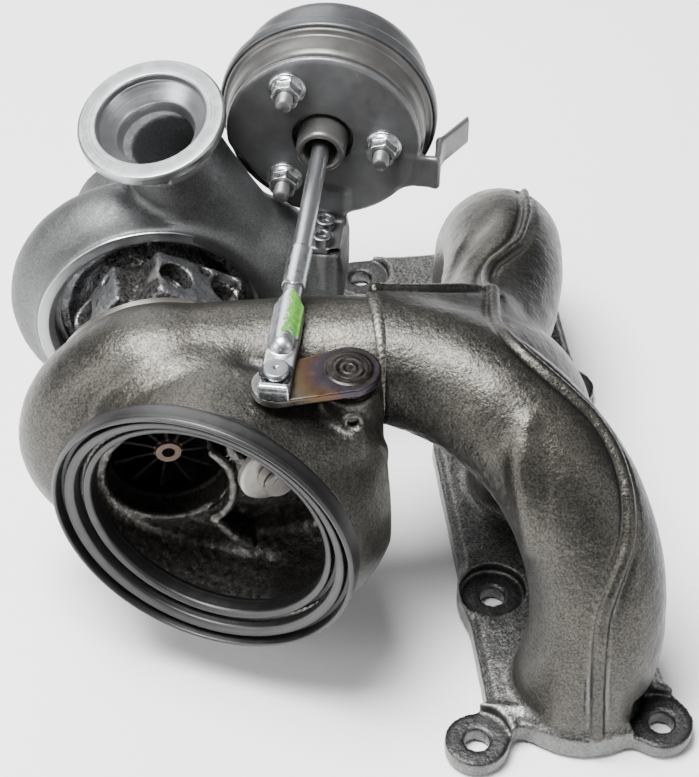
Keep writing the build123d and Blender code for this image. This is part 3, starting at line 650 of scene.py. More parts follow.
def black_casting(places):
    """Black iron casting with lumpy gloss, painted shade in the creases, and milled flats on the pads."""
    look = Look("black_iron_casting", metallic=0.8)
    grain = look.noise(1.0, 3.0, 0.65)
    colour = look.mix(look.span(grain, 0.3, 0.75), (0.012, 0.012, 0.013), (0.16, 0.155, 0.15))
    roughness = look.span(look.noise(4.5, 3.0, 0.6), 0.3, 0.7, 0.24, 0.48)
    flat = None
    for place, reach in places:
        _, _, height, _ = look.local(place)
        here = look.span(height, reach - 0.9, reach - 0.45)
        flat = here if flat is None else look.math("MAXIMUM", flat, here)
    milled = look.mix(look.span(look.noise(0.8, 3.0, 0.6), 0.3, 0.7), (0.095, 0.098, 0.105),
                      (0.17, 0.175, 0.18))
    colour = look.mix(flat, shaded(look, colour, 0.7, 0.35), milled)
    bump = look.bump(grain, 0.2, look.bump(look.noise(5, 3.0), 0.9))
    strength = look.math("SUBTRACT", 1.0, look.math("MULTIPLY", flat, 0.93))
    bump = look.bump(look.noise(2.2, 3.0), 0.35, bump, strength)
    return look.finish(colour, roughness, bump)


def zinc(name, tones=((0.40, 0.41, 0.42), (0.52, 0.53, 0.54)), roughness=0.30):
    """Zinc-plated steel with small cloudy spangles."""
    look = Look(name)
    clouds = look.noise(2.4, 4.0, 0.65)
    colour = look.mix(look.span(clouds, 0.3, 0.72), *tones)
    rough = look.span(look.noise(1.2, 4.0, 0.7), 0.3, 0.75, roughness - 0.06, roughness + 0.14)
    return look.finish(colour, rough, look.bump(look.noise(0.9, 4.0, 0.7), 0.008))


def painted_zinc():
    """The rod end's zinc with a green inspection mark brushed over its shoulder."""
    look = Look("zinc_rod_end")
    clouds = look.noise(2.4, 4.0, 0.65)
    colour = look.mix(look.span(clouds, 0.3, 0.72), (0.46, 0.48, 0.50), (0.60, 0.62, 0.64))
    x, y, _, _ = look.local(ALONG_ROD)
    wobble = look.math("MULTIPLY", look.math("SUBTRACT", look.noise(4.5, 3.0), 0.5), 9.0)
    fine = look.math("MULTIPLY", look.math("SUBTRACT", look.noise(1.3, 2.0), 0.5), 2.5)
    wobble = look.math("ADD", wobble, fine)
    left = look.math("ADD", look.math("ADD", x, wobble), -0.4)
    across = look.span(left, -0.25, 0.25)
    low = look.span(look.math("ADD", y, wobble), 15.8, 16.3)
    high = look.span(look.math("ADD", y, look.math("MULTIPLY", wobble, 0.7)), 35.2, 34.6)
    mark = look.math("MULTIPLY", across, look.math("MULTIPLY", low, high))
    top = look.span(look.axis("Z", "Normal"), 0.05, 0.25)
    mark = look.math("MULTIPLY", mark, top)
    green = look.mix(look.span(look.noise(1.6, 3.0), 0.3, 0.7), (0.045, 0.165, 0.018), (0.095, 0.270, 0.035))
    colour = look.mix(mark, colour, green)
    rough = look.math("ADD", look.span(clouds, 0.3, 0.7, 0.26, 0.36), look.math("MULTIPLY", mark, 0.2))
    metal = look.math("SUBTRACT", 1.0, mark)
    return look.finish(colour, rough, look.bump(mark, 0.06, look.bump(look.noise(0.9, 4.0), 0.006)), metal)


def tinted_lever():
    """The lever: bare steel with straw, brown, purple and blue heat rings round the welded shaft end."""
    look = Look("heat_tinted_steel")
    _, _, _, r = look.local(LEVER)
    wave = look.math("MULTIPLY", look.math("SUBTRACT", look.noise(6, 3.0), 0.5), 5.0)
    reach = look.math("DIVIDE", look.math("ADD", r, wave), 30.0)
    colour = look.ramp(reach, (0.00, (0.030, 0.028, 0.027)), (0.25, (0.034, 0.030, 0.028)),
                       (0.33, (0.046, 0.040, 0.050)), (0.42, (0.080, 0.046, 0.036)),
                       (0.50, (0.098, 0.064, 0.036)), (0.62, (0.105, 0.084, 0.058)),
                       (0.78, (0.130, 0.124, 0.110)), (1.00, (0.20, 0.20, 0.195)))
    stains = look.noise(3.2, 4.0, 0.7)
    colour = look.mix(look.span(stains, 0.55, 0.72, 0, 0.45), colour, (0.07, 0.055, 0.045))
    wavy = look.math("ADD", r, look.math("MULTIPLY", wave, 0.3))
    ring = look.math("SINE", look.math("MULTIPLY", wavy, 3.6))
    swirl = look.math("MULTIPLY", look.span(r, 7.6, 6.4), look.span(ring, -1.0, 1.0))
    rough = look.span(stains, 0.3, 0.75, 0.26, 0.46)
    bump = look.bump(swirl, 0.05, look.bump(look.noise(0.8, 4.0, 0.7), 0.03))
    return look.finish(colour, rough, bump)


def sooted_wheel(place):
    """The turbine wheel: sooted blades with a bare brownish nose."""
    look = Look("wheel_superalloy", metallic=0.9)
    _, _, _, r = look.local(place)
    soot = look.mix(look.span(look.noise(1.2, 3.0), 0.3, 0.7), (0.004, 0.004, 0.004), (0.016, 0.015, 0.014))
    nose = look.mix(look.span(look.turned_marks(place, 0.4), 0.3, 0.7), (0.15, 0.115, 0.095),
                    (0.30, 0.235, 0.195))
    colour = look.mix(look.span(r, 5.0, 4.5), soot, nose)
    roughness = look.span(look.noise(3, 3.0), 0.3, 0.7, 0.55, 0.7)
    return look.finish(colour, roughness, look.bump(look.noise(1, 3.0), 0.05))


def satin(name, low, high, roughness, metallic=0.35, grain=0.9, depth=0.02, coat=0.0):
    """An even coated or plated surface with a faint mottle, dust specks and rubbed spots."""
    look = Look(name, metallic=metallic, coat=coat)
    mottle = look.noise(14, 4.0, 0.6)
    specks = look.noise(grain, 3.0, 0.6)
    colour = look.mix(look.span(mottle, 0.3, 0.7), low, high)
    colour = look.mix(look.span(specks, 0.70, 0.80, 0, 0.4), colour, tuple(min(c * 2.2, 0.8) for c in high))
    rough = look.span(look.noise(5, 4.0, 0.6), 0.3, 0.7, roughness - 0.05, roughness + 0.07)
    return look.finish(colour, rough, look.bump(specks, depth, look.bump(mottle, 0.05)))


def brushed(name, place, tones, pitch=0.5, roughness=0.2):
    """A drawn or ground bar with fine lines along or round a frame's z axis."""
    look = Look(name)
    _, _, z, _ = look.local(place)
    lines = look.noise(pitch, 4.0, 0.7, at=look.vector(look.math("MULTIPLY", z, 0.001), 0.0, 0.0))
    fine = look.noise(0.7, 4.0, 0.7)
    colour = look.mix(look.span(lines, 0.3, 0.7), *tones)
    rough = look.span(fine, 0.3, 0.75, roughness, roughness + 0.14)
    return look.finish(colour, rough, look.bump(lines, 0.012, look.bump(fine, 0.01)))


# Exhaust manifold

NEAR_RUN = ((0, -91, 1, 23.4), (1, -91, 20, 22.4), (3, -89, 38, 22), (2, -82, 58, 22), (-4, -71, 77, 22),
            (-14, -58, 90, 21.5), (-28, -44, 98, 21.5), (-44, -32, 101, 21), (-62, -25, 102, 20.4),
            (-74, -23, 102, 20.4))
MIDDLE_RUN = ((0, 0, 1, 23.2), (0, 0, 20, 21.6), (-1, -1, 38, 20.6), (-6, -5, 57, 20.3), (-17, -13, 77, 20),
              (-33, -26, 94, 19.4), (-42, -34, 100, 18))
FAR_RUN = ((0, 91, 1, 24), (0, 91, 20, 22.6), (-0.5, 87, 42, 22), (-1, 73, 57, 21.6), (-5, 50, 64, 21.4),
           (-13, 25, 67, 21), (-24, 5, 75, 20.4), (-36, -13, 88, 19.6), (-51, -27, 100, 17.8))
PARTING_LINE = ((0.5, -114.6, 9), (0.2, -113.7, 17), (-1.0, -110, 42), (0.2, -103.3, 58), (3.6, -98, 69),
                (8.0, -91, 79), (9.9, -82, 89.4), (8, -71, 97.4), (2.7, -61.6, 104), (-3.6, -55.9, 109.3),
                (-10.7, -49.9, 113.7), (-17.2, -42.8, 116.8), (-22.0, -33.0, 116.0), (-21.8, -17.0, 107.5),
                (-20, 3, 97.5))
FAR_RIDGE = ((9.5, 86, 74), (7.1, 75, 77.8), (5.0, 62.8, 81.5), (-0.8, 46.1, 85.4), (-7.7, 38, 86.6),
             (-13.3, 32.4, 87), (-17.0, 24.4, 88.9), (-19.5, 12.1, 93.4), (-20, 4, 97))
FAR_CREASE = ((-5, 66, 80), (-9.4, 57.7, 83.7), (-16.2, 49.3, 83.2), (-23.3, 41.9, 80), (-30.2, 27.7, 81.3))
FLANGE_TOP, EAR_T, EAR_R, HOLE_R, PORT_R = 10.0, 6.5, 10.5, 4.25, 19.0
RUNNER_WALL = 3.6


def split(run, shrink=0.0):
    run = np.array(run, float)
    return run[:, :3], run[:, 3] - shrink


def flange_plan(x, y):
    """The head flange's outline seen from above."""
    d = soft_min(oblong(x, y, (-32.5, -106), (27.5, 100)), oblong(x, y, (-43, 96), (19, 127.5)), 3)
    for at in ((36, -70), (36, 45), (-40, 44)):
        d = -soft_min(-d, disc(x, y, at, 19), 4)
    for i in (-1, 0, 1):
        d = soft_min(d, disc(x, y, (0, PORT_PITCH * i), 24.5), 6)
    for at in HOLES:
        d = soft_min(d, disc(x, y, at, EAR_R), 7)
    return d


def seam(clay, line, rise, half, crease):
    """A raised line along a body's surface with a crease on each side."""
    spine = clay.snap(line)
    out = clay.slope(spine)
    side = np.cross(np.gradient(spine, axis=0), out)
    side /= np.linalg.norm(side, axis=1)[:, None]
    creases = [clay.snap(spine + turn * (half + 0.6 * crease) * side, 0.2 * crease) for turn in (-1, 1)]
    clay.add(tube(spine + (rise - half) * out, half), 0.8)
    for line in creases:
        clay.cut(tube(line, crease), 0.7)


def manifold():
    """The manifold casting: three runners blended into one collector, on the milled head flange."""
    clay = Clay((-62, -119.2, 0), (33.3, 129.2, 124), 1.0)
    clay.add(plate(flange_plan, (-58, -119.2, 0), (34.5, 129.2, 8.4), 0.5))
    clay.add(plate(lambda x, y: flange_plan(x, y) + 2.0, (-58, -100, 0), (34.5, 129.2, FLANGE_TOP), 1.0), 0.8)
    for at in HOLES[:6]:
        clay.add(drum(Place((*at, 0)), EAR_R + 3.6, 2, FLANGE_TOP - 0.6, 1.2), 1.0)
    clay.cut(plate(lambda x, y: -flange_plan(x, y), (-60, -124, -4), (40, 134, 14), 0), 0.6)
    for run in (FAR_RUN, MIDDLE_RUN, NEAR_RUN):
        clay.add(tube(*split(run)), 4)
    clay.add(tube(((-66, -15, 111), (-42, -9, 105), (-20, 3, 91)), 7.0), 9)
    clay.cut(tube(clay.snap(FAR_CREASE, 3.6), (2.5, 4.2, 4.6, 4.6, 4.2)), 3)
    seam(clay, FAR_RIDGE, 1.9, 1.7, 1.3)
    seam(clay, ((-62, -10.5, 117), (-44, -6.5, 111.5), (-30, 0, 105), (-20, 5, 98.5)), 1.6, 2.0, 1.0)
    seam(clay, PARTING_LINE, 1.3, 2.6, 1.1)
    boss = clay.snap(((-20.5, -66, 108), (-22.0, -72, 100), (-20.5, -79, 88), (-18.5, -83, 74)), -3.2)
    clay.add(tube(boss, (4.0, 5.6, 5.6, 4.4)), 2.4)
    for line in (((-34, -97.5, 9.4), (-21, -101, 9.6), (-12, -108, 9.6), (-3, -113, 9.6)),
                 ((3, -113.5, 9.4), (10, -110, 9.4), (14, -106, 9.2))):
        clay.add(tube(line, 1.3), 1.2)
    for at in HOLES:
        place = Place((*at, 0))
        clay.cut(drum(place, EAR_R + 0.8, EAR_T, 20, 0.4), 0.4)
        clay.cut(drum(place, HOLE_R, -4, 20, 0.3))
    for run in (FAR_RUN, MIDDLE_RUN, NEAR_RUN):
        clay.cut(tube(*split(run, RUNNER_WALL)), 3)
    for i in (-1, 0, 1):
        clay.cut(drum(Place((0, PORT_PITCH * i, 0)), PORT_R, -4, 14, 0.5), 2)
    clay.cut(slab(WORLD, (-90, -150, -30), (60, 150, 0), 0))
    clay.cut(slab(WORLD, (-90, 128.8, -30), (60, 150, 60), 0))
    clay.cut(slab(WORLD, (JOIN_X - 30, -150, 20), (JOIN_X, 150, 160), 0))

    def rough(points):
        """The flange's scale and the underside of the collector are coarser than the runners."""
        under = (points[:, 0] < -26) & (points[:, 2] < 92) & (points[:, 2] > 30)
        return np.where((points[:, 2] > 7) & (points[:, 2] < 11), 0.5, 0.12) + 1.6 * under
    clay_piece(clay, "manifold_casting", "housing", manifold_look(),
               ("exhaust_manifold",), 0.14, 3, rough)


def weld_bead():
    """The bead between manifold and turbine housing, two passes of overlapping ripples."""
    place = Place((JOIN_X, -25, 102), (-1, 0, 0), (0, 0, 1))
    turns, across = 420, 22
    points = []
    rng = np.random.default_rng(11)
    wander = catmull(rng.uniform(-0.5, 0.5, (26, 2)), 16)
    for i in range(turns):
        turn = 2 * math.pi * i / turns
        drift, swell = wander[i % len(wander)]
        fade = math.sin(math.pi * min(i, turns - i) / turns)
        for j in range(across):
            f = j / (across - 1)
            middle = 2 * abs(f - 0.5)
            ripple = 0.06 * math.sin(62 * turn + 5 * middle ** 2) * math.sin(math.pi * f)
            dome = 0.75 * math.sin(math.pi * f) ** 0.7
            lift = 0.3 + dome + ripple + 0.2 * swell * fade
            points.append(((20.2 + lift) * math.cos(turn), (20.2 + lift) * math.sin(turn),
                           -1.9 + 3.8 * f + drift * fade))
    last = []
    for i in range(turns):
        turn = 2 * math.pi * i / turns
        last.append((18.6 * math.cos(turn), 18.6 * math.sin(turn), -0.2))
    grid = np.array(points).reshape(turns, across, 3)
    grid = np.concatenate([grid, np.array(last)[:, None, :]], 1)
    width = across + 1
    i, j = np.meshgrid(np.arange(turns), np.arange(width), indexing="ij")
    near, far = (i + 1) % turns, (j + 1) % width
    faces = np.stack([i * width + j, near * width + j, near * width + far, i * width + far], -1)
    faces = faces.reshape(-1, 4)
    mesh = sharpen(new_mesh("weld_bead", place.out(grid.reshape(-1, 3)), faces), 60)
    look = Look("weld_metal", metallic=0.9)
    grain = look.noise(0.8, 3.0, 0.7)
    colour = look.mix(look.span(grain, 0.3, 0.7), (0.045, 0.043, 0.040), (0.19, 0.18, 0.16))
    look.finish(colour, look.span(grain, 0.3, 0.7, 0.36, 0.5), look.bump(grain, 0.1))
    add_piece("weld_bead", mesh, "housing", look.material, ("manifold_weld",))


# Turbine housing

def winding(start, stop, count, reach, radius, height):
    """The centres and radii of a volute about the rotor axis."""
    rows = []
    for i in range(count):
        f = i / (count - 1)
        turn = math.radians(start + (stop - start) * f)
        rows.append((ROTOR_X + reach(f) * math.cos(turn), height(f), ROTOR_Z + reach(f) * math.sin(turn),
                     radius(f)))
    return rows


LEAD = ((-50, -27, 102, 20.5), (-62, -25, 102, 20.4), (-76, -23, 101.6, 20), (-100, -21, 101.2, 19.6),
        (-135, -20, 101, 19.5))
SCROLL = winding(90, 385, 15, lambda f: 34 - 9 * f, lambda f: 19.5 - 8.5 * f, lambda f: -20 + 5 * f)
SCROLL_GAS = winding(90, 380, 14, lambda f: 35 - 7.5 * f, lambda f: 12.3 - 8.3 * f, lambda f: -19 + 6 * f)
LEAD_GAS = ((-50, -27, 102, 16.9), (-62, -25, 102, 16.9), (-76, -22.5, 102, 16.4), (-100, -20, 101.5, 15),
            (-134, -19, 102, 12.3))


# The wall between the turbine's exit and the wastegate port, as (x, z) points
DIVIDER = ((-116.5, 85.3), (-112.5, 79.7), (-110.2, 71.9), (-110.7, 63.4), (-113.1, 57.9), (-116.8, 54.5))
DIVIDER_RIB = ((-116.8, 54.5), (-111.4, 46.4), (-105.6, 40.6))


def turbine_casting():
    """The turbine housing casting: scroll, outlet chamber, boss and the chamber's inner walls."""
    clay = Clay((-181, -93, 20), (-61.6, 5, 125), 0.9)
    clay.add(tube(*split(SCROLL)))
    clay.add(tube(*split(LEAD)), 4)
    clay.add(drum(ROTOR, 27.5, -34, -9, 1.5, 30.5), 5)
    clay.add(drum(ROTOR, 32.8, -9, 4, 1.0), 3)
    clay.add(drum(RIM, 46.2, 5.5, 36, 6), 6)
    clay.add(ball(CHAMBER_AT, 40.5), 10)
    clay.cut(slab(RIM, (-90, -90, -40), (90, 90, 6), 0))
    clay.add(drum(SHAFT, 9.6, 70, 115.7, 0.8), 5)
    pad = Place((PIVOT[0] - 1.5, PIVOT[1] - 1.5, 0), (0, 0, 1), (0.86, -0.50, 0))
    clay.add(slab(pad, (-13, -8.0, 80), (9.4, 9.0, 107.5), 1.0), 1.8)
    shoulder = clay.snap(((-152, -42, 106), (-140, -38.5, 107), (-126, -34, 108), (-112, -29.5, 108)), -5.4)
    clay.add(tube(shoulder[::max(1, len(shoulder) // 8)], 6.8), 5)
    clay.add(tube(((-97, -72, 104), (-84, -66, 103), (-70.5, -60, 99), (-66, -57, 92)), (2, 3.2, 4, 3.4)), 6)
    clay.add(drum(PIN_BOSS, 3.4, -4, 1.4, 0.4), 0.8)
    gas = clay.blank()
    gas.add(drum(RIM, 42.6, 10, 34, 4))
    gas.add(drum(RIM, 41.8, -4, 12, 0.4))
    gas.add(ball(CHAMBER_AT, 36.5), 3)
    gas.cut(slab(WORLD, (-200, -35, 0), (-40, 60, 160), 0), 3)
    gas.cut(drum(Place(PORT_AT, (0, 1, 0)), 12.8, 0, 30, 1.0), 1.5)
    for y in (-36, -39, -42, -45):
        gas.cut(tube([(x, y, z) for x, z in DIVIDER], 1.7), 1.2)
        gas.cut(tube([(x, y, z) for x, z in DIVIDER_RIB], (1.7, 1.9, 2.6)), 1.2)
    clay.field = np.maximum(clay.field, -gas.field)
    clay.cut(tube(*split(SCROLL_GAS)), 1)
    clay.cut(tube(*split(LEAD_GAS)), 1)
    clay.cut(drum(ROTOR, 22, -40, -26, 2.0, 19.5), 0.5)
    clay.cut(drum(ROTOR, 19, -27, -12, 0.5))
    clay.cut(drum(ROTOR, 24, -16, -6, 0.5))
    clay.cut(drum(ROTOR, 25.5, -7, 0, 0.3))
    clay.cut(drum(ROTOR, 28, -3, 8, 0.3))
    clay.cut(drum(Place((PORT_AT[0], PORT_AT[1] - 1, PORT_AT[2]), (0, 1, 0)), 9, -2, 25, 0.8))
    clay.cut(drum(SHAFT, 6.5, 70, 120, 0.4))
    clay.cut(drum(PIN_BOSS, 1.5, -5, 5, 0.2))
    clay.cut(slab(WORLD, (JOIN_X, -100, 20), (JOIN_X + 40, 60, 160), 0))
    clay.cut(slab(WORLD, (-200, 4, 0), (-40, 60, 160), 0))

    def rough(points):
        """Inside the chamber the surface is as cast and coarse."""
        inner = (gas.at(points) < 0.6) & (points[:, 1] < -34)
        return 1.5 * inner
    clay_piece(clay, "turbine_casting", "housing", turbine_look(), ("turbine_housing",),
               0.13, 7, rough)


def turbine_look():
    """Blasted cast steel outside with painted shade on downward faces and in creases, sooty brown-black inside the
    outlet chamber.
    """
    look = Look("turbine_cast_steel", metallic=0.86)
    _, colour, roughness, bump = blasted(look)
    colour = shaded(look, colour, 0.85, 0.22)
    _, _, depth, r = look.local(RIM)
    inside = look.math("MULTIPLY", look.span(r, 43.8, 43.2), look.span(depth, 5.0, 7.0))
    inside = look.math("MULTIPLY", inside, look.span(look.axis("Y"), -0.0335, -0.0350))
    soot = look.ramp(look.noise(1.8, 4.0, 0.7), (0.35, (0.030, 0.028, 0.027)), (0.60, (0.13, 0.122, 0.114)),
                     (0.78, (0.42, 0.40, 0.37)))
    soot = look.mix(look.math("MULTIPLY", look.span(look.attribute("edge"), 0.30, 0.95), 0.30), soot,
                    (0.33, 0.31, 0.29))
    colour = look.mix(look.math("MULTIPLY", inside, 0.96), colour, soot)
    return look.finish(colour, roughness, bump)


def outlet_rim():
    """The machined V-band rim of the turbine outlet with its grooves and steps."""
    outline = [(46.0, 13.0), (46.4, 9.6), (47.4, 8.0), (50.6, 7.2), (50.9, 6.4), (50.9, 0.9), (50.1, 0.05),
               (49.6, 0.05), (49.2, 0.5), (49.1, 4.4), (47.5, 4.4), (47.2, 2.0), (46.6, 1.7), (44.3, 2.8),
               (44.0, 3.3), (43.9, 7.4), (42.3, 7.4), (42.0, 5.0), (41.4, 4.7), (39.9, 5.5), (39.5, 6.2),
               (39.5, 11.0), (41.0, 13.0)]
    mesh = lathe("outlet_rim", RIM, outline, 0.3, 220)
    tones = ((0.055, 0.055, 0.056), (0.082, 0.082, 0.083), (0.042, 0.042, 0.043))
    look = milled_steel("milled_cast_steel", RIM, tones, 0.9, 0.36)
    add_piece("outlet_rim", mesh, "housing", look)


# Compressor housing and centre housing

VOLUTE = winding(60, 375, 16, lambda f: 33.5 + 8 * f, lambda f: 9.5 + 9.5 * f, lambda f: 57)
VOLUTE_AIR = winding(60, 375, 15, lambda f: 34 + 8 * f, lambda f: 3.6 + 8.4 * f, lambda f: 56 + 7.5 * f)
DUCT = ((-88.5, 57, 66, 19), (-92, 57, 76, 18.5), (-103.5, 56.5, 93, 17.5), (-116.5, 58, 117, 17),
        (-126.3, 58.3, 137.5, 17))
DUCT_AIR = ((-89.4, 63.5, 66, 12), (-91.5, 63, 78, 12), (-103, 60, 94, 12), (-116, 58.5, 116, 12),
            (-126.6, 58.3, 140.2, 12))


def foot_place(s):
    """A bracket screw's axis, pointing down from the actuator's own height."""
    return Place(CAN.out((FOOT_X, 0, s))[0], (0, 0, -1))


def compressor_casting():
    """The compressor housing casting: volute, duct, inlet neck and the actuator's lug."""
    clay = Clay((-181.5, 36.8, 7), (-40, 99.2, 146), 0.9)
    clay.add(tube(*split(VOLUTE)))
    clay.add(tube(*split(DUCT)), 6)
    clay.add(drum(ROTOR, 33, 47, 70, 1.0, 34), 3)
    clay.add(drum(ROTOR, 34, 68, 84, 1.5, 25.5), 3)
    clay.add(drum(ROTOR, 25.5, 80, 99, 0.9), 3)
    clay.add(drum(ROTOR, 41.6, 37.4, 58, 1.4), 6)
    clay.add(slab(CAN, (-5, 38, -16), (8, 64, 10), 2.0), 5)
    clay.add(slab(CAN, (-16.5, 44, -14), (7.5, 62, 8), 2.0), 5)
    clay.cut(tube(*split(VOLUTE_AIR)), 1)
    clay.cut(tube(*split(DUCT_AIR)), 1)
    clay.cut(drum(DISCHARGE, 18.8, -12, 20, 0.3))
    for radius, start, end in ((36.9, 20, 46.4), (34.6, 44, 55.2), (18, 60, 90), (22, 88, 120)):
        clay.cut(drum(ROTOR, radius, start, end, 0.4))
    clay.cut(drum(ROTOR, 34.0, 54, 66, 0.4, 18))
    for s in FOOT_SPOTS:
        clay.cut(drum(foot_place(s), 2.05, 20, 54, 0.2))
    clay_piece(clay, "compressor_casting", "housing", cast_aluminium(),
               ("compressor_housing",), 0.08, 15)


def machined_aluminium():
    """The turned discharge flange with its funnel, and the turned ring round the centre housing."""
    flange = [(24.6, 0), (25.2, -0.6), (25.2, -3.6), (24.4, -4.2), (19.6, -4.7), (18.7, -5.6), (18.7, -12.4),
              (12.2, -12.4), (12.25, -12.0), (13.4, -8.2), (13.9, -7.6), (16.6, -5.1), (18.2, -3.4), (18.6, -2.8),
              (18.7, -0.5), (19.1, -0.05)]
    tones = ((0.36, 0.37, 0.38), (0.45, 0.46, 0.47), (0.31, 0.32, 0.33))
    look = milled_steel("turned_aluminium", DISCHARGE, tones, 0.9, 0.28, 0.006)
    add_piece("discharge_flange", lathe("discharge_flange", DISCHARGE, flange, 0.22, 200), "housing",
              look)
    ring = [(41.0, 37.9), (40.6, 37.15), (37.0, 37.15), (35.0, 39.2), (35.0, 44.2), (36.6, 44.2), (36.6, 46.0),
            (35.0, 46.0), (35.0, 52.0), (36.9, 52.0), (36.9, 46.4), (36.95, 40.5), (41.0, 40.5)]
    look = milled_steel("turned_aluminium_ring", ROTOR, tones, 0.9, 0.28, 0.006)
    add_piece("mounting_ring", lathe("mounting_ring", ROTOR, ring, 0.2, 220), "housing",
              look)


def pad_place(lean):
    lean = math.radians(lean)
    return Place((ROTOR_X, 0, ROTOR_Z), (math.sin(lean), 0, math.cos(lean)), (0, 1, 0))


def centre_casting():
    """The black centre housing with its oil and coolant pads."""
    clay = Clay((-165.5, -3, 31), (-94.5, 52.6, 102.5), 0.7)
    clay.add(drum(ROTOR, 27.6, -2.4, 6, 0.4))
    clay.add(drum(ROTOR, 33, 4.02, 7, 0.4), 0.5)
    clay.add(drum(ROTOR, 27.5, 6, 13, 1, 20.5), 2)
    clay.add(drum(ROTOR, 20.5, 9, 36, 1), 3)
    clay.add(drum(ROTOR, 20, 30, 47, 1, 30), 3)
    right, left, drain = pad_place(29.4), pad_place(-56.2), pad_place(180)
    clay.add(slab(right, (16, -18, 5), (36.8, 15.5, 30.8), 2.0), 4)
    clay.add(slab(right, (18, -6, 14), (43, 8, 23), 3.0), 5)
    clay.add(slab(left, (19, -17, 5), (36.8, 11, 27.2), 2.0), 4)
    clay.add(slab(left, (22, -8, 10), (42, 5, 20), 3.0), 5)
    clay.add(slab(drain, (12, -15, 5), (36, 15, 30), 1.5), 4)
    clay.add(ball((-127, 20, 88.5), 8.5), 6)
    clay.add(ball((-139, 30, 84.5), 7), 6)
    clay.add(drum(ROTOR, 34.9, 46.1, 52, 0.5), 1)
    clay.cut(drum(ROTOR, 7.6, -6, 60, 0.3))
    clay.cut(drum(ROTOR, 18, 37, 60, 0.3))
    for place, x, y, radius, start, edge in ((right, 26, 8.4, 4.2, 6, 0.3), (right, 26, 8.4, 6, 24, 0.6),
                                             (right, 28, -12, 6.2, 20, 0.3), (right, 28, -12, 7.2, 27, 0.5),
                                             (right, 33.4, -3.2, 2.5, 20, 0.2), (left, 30, 3.8, 5.5, 17, 0.4),
                                             (left, 32.5, -11.9, 2.1, 17, 0.2), (drain, 25, 0, 8, 6, 0.5)):
        clay.cut(drum(place.shifted(x, y, 0), radius, start, 50, edge))
    look = black_casting(((right, 30.8), (left, 27.2), (drain, 30)))
    clay_piece(clay, "centre_casting", "housing", look, ("bearing_housing",), 0.3, 21)


# Wastegate linkage

def lever():
    """The lever with rounded edges and the weld swirl over the shaft's end."""
    clay = Clay((-108, -62, 118.6), (-63, -38, 122.6), 0.32)

    def outline(x, y):
        u = (x - PIVOT[0]) * LEVER.x[0] + (y - PIVOT[1]) * LEVER.x[1]
        v = (x - PIVOT[0]) * LEVER.y[0] + (y - PIVOT[1]) * LEVER.y[1]
        f = np.clip(u / LEVER_REACH, 0, 1)
        return np.sqrt((u - f * LEVER_REACH) ** 2 + v * v) - (9.9 - 2.0 * f)
    clay.add(plate(outline, (-108, -62, LEVER_Z), (-63, -38, LEVER_Z + LEVER_T), 0.5))
    clay.cut(drum(Place((*PIN, 0)), 3.05, 110, 130, 0.2))
    clay.add(drum(SHAFT, 7.2, 119.4, 122.35, 0.3), 0.3)
    for radius, height in ((2.0, 122.1), (4.4, 122.1)):
        clay.add(tube([(PIVOT[0] + radius * math.cos(t), PIVOT[1] + radius * math.sin(t), height)
                       for t in np.linspace(0.4, 5.9, 12)], 0.3), 0.6)
    clay_piece(clay, "lever_plate", "crank", tinted_lever(), ("wastegate_lever",), 0.03, 31)


def rod_fork():
    """The rod end: a flat blade, a pressed bulge behind the pin, a shoulder and a crimped sleeve."""
    base = LEVER_Z + LEVER_T
    clay = Clay((-104, -63, base), (-80, 5.2, 130.6), 0.34)
    clay.add(slab(ALONG_ROD, (-4.8, -7.8, base + 0.3), (4.8, 34, base + 3.9), 0.5))
    clay.add(slab(ALONG_ROD, (-4.8, -7.8, base + 0.3), (4.8, -5.5, base + 6.1), 0.7), 0.4)
    clay.add(slab(ALONG_ROD, (-4.8, 15, base + 0.4), (4.8, 34, ROD_Z + 1.6), 0.7), 0.6)
    clay.add(tube(ALONG_ROD.out(((0, 13.0, ROD_Z - 0.4), (0, 24, ROD_Z - 0.4), (0, 34, ROD_Z))),
                  (4.3, 4.4, 4.2)), 0.5)
    sleeve = Place(ALONG_ROD.out((0, 30, ROD_Z))[0], ROD_AXIS)
    clay.add(drum(sleeve, 3.8, 0, 27, 0.6), 0.6)
    for side in (-1, 1):
        clay.cut(slab(Place(ALONG_ROD.out((side * 4.9, 33.2, ROD_Z))[0], (0, 0, 1),
                            ALONG_ROD.x * 0.8 + side * ALONG_ROD.y * 0.6), (-2.2, -6, -9), (2.2, 6, 9), 0.3), 0.6)
    clay.cut(drum(sleeve, 3.0, 4, 40, 0.2))
    clay.cut(drum(ALONG_ROD, 3.3, 110, 140, 0.3), 0.3)
    clay_piece(clay, "rod_fork", "link", painted_zinc(), ("rod_end",), 0.05, 41)


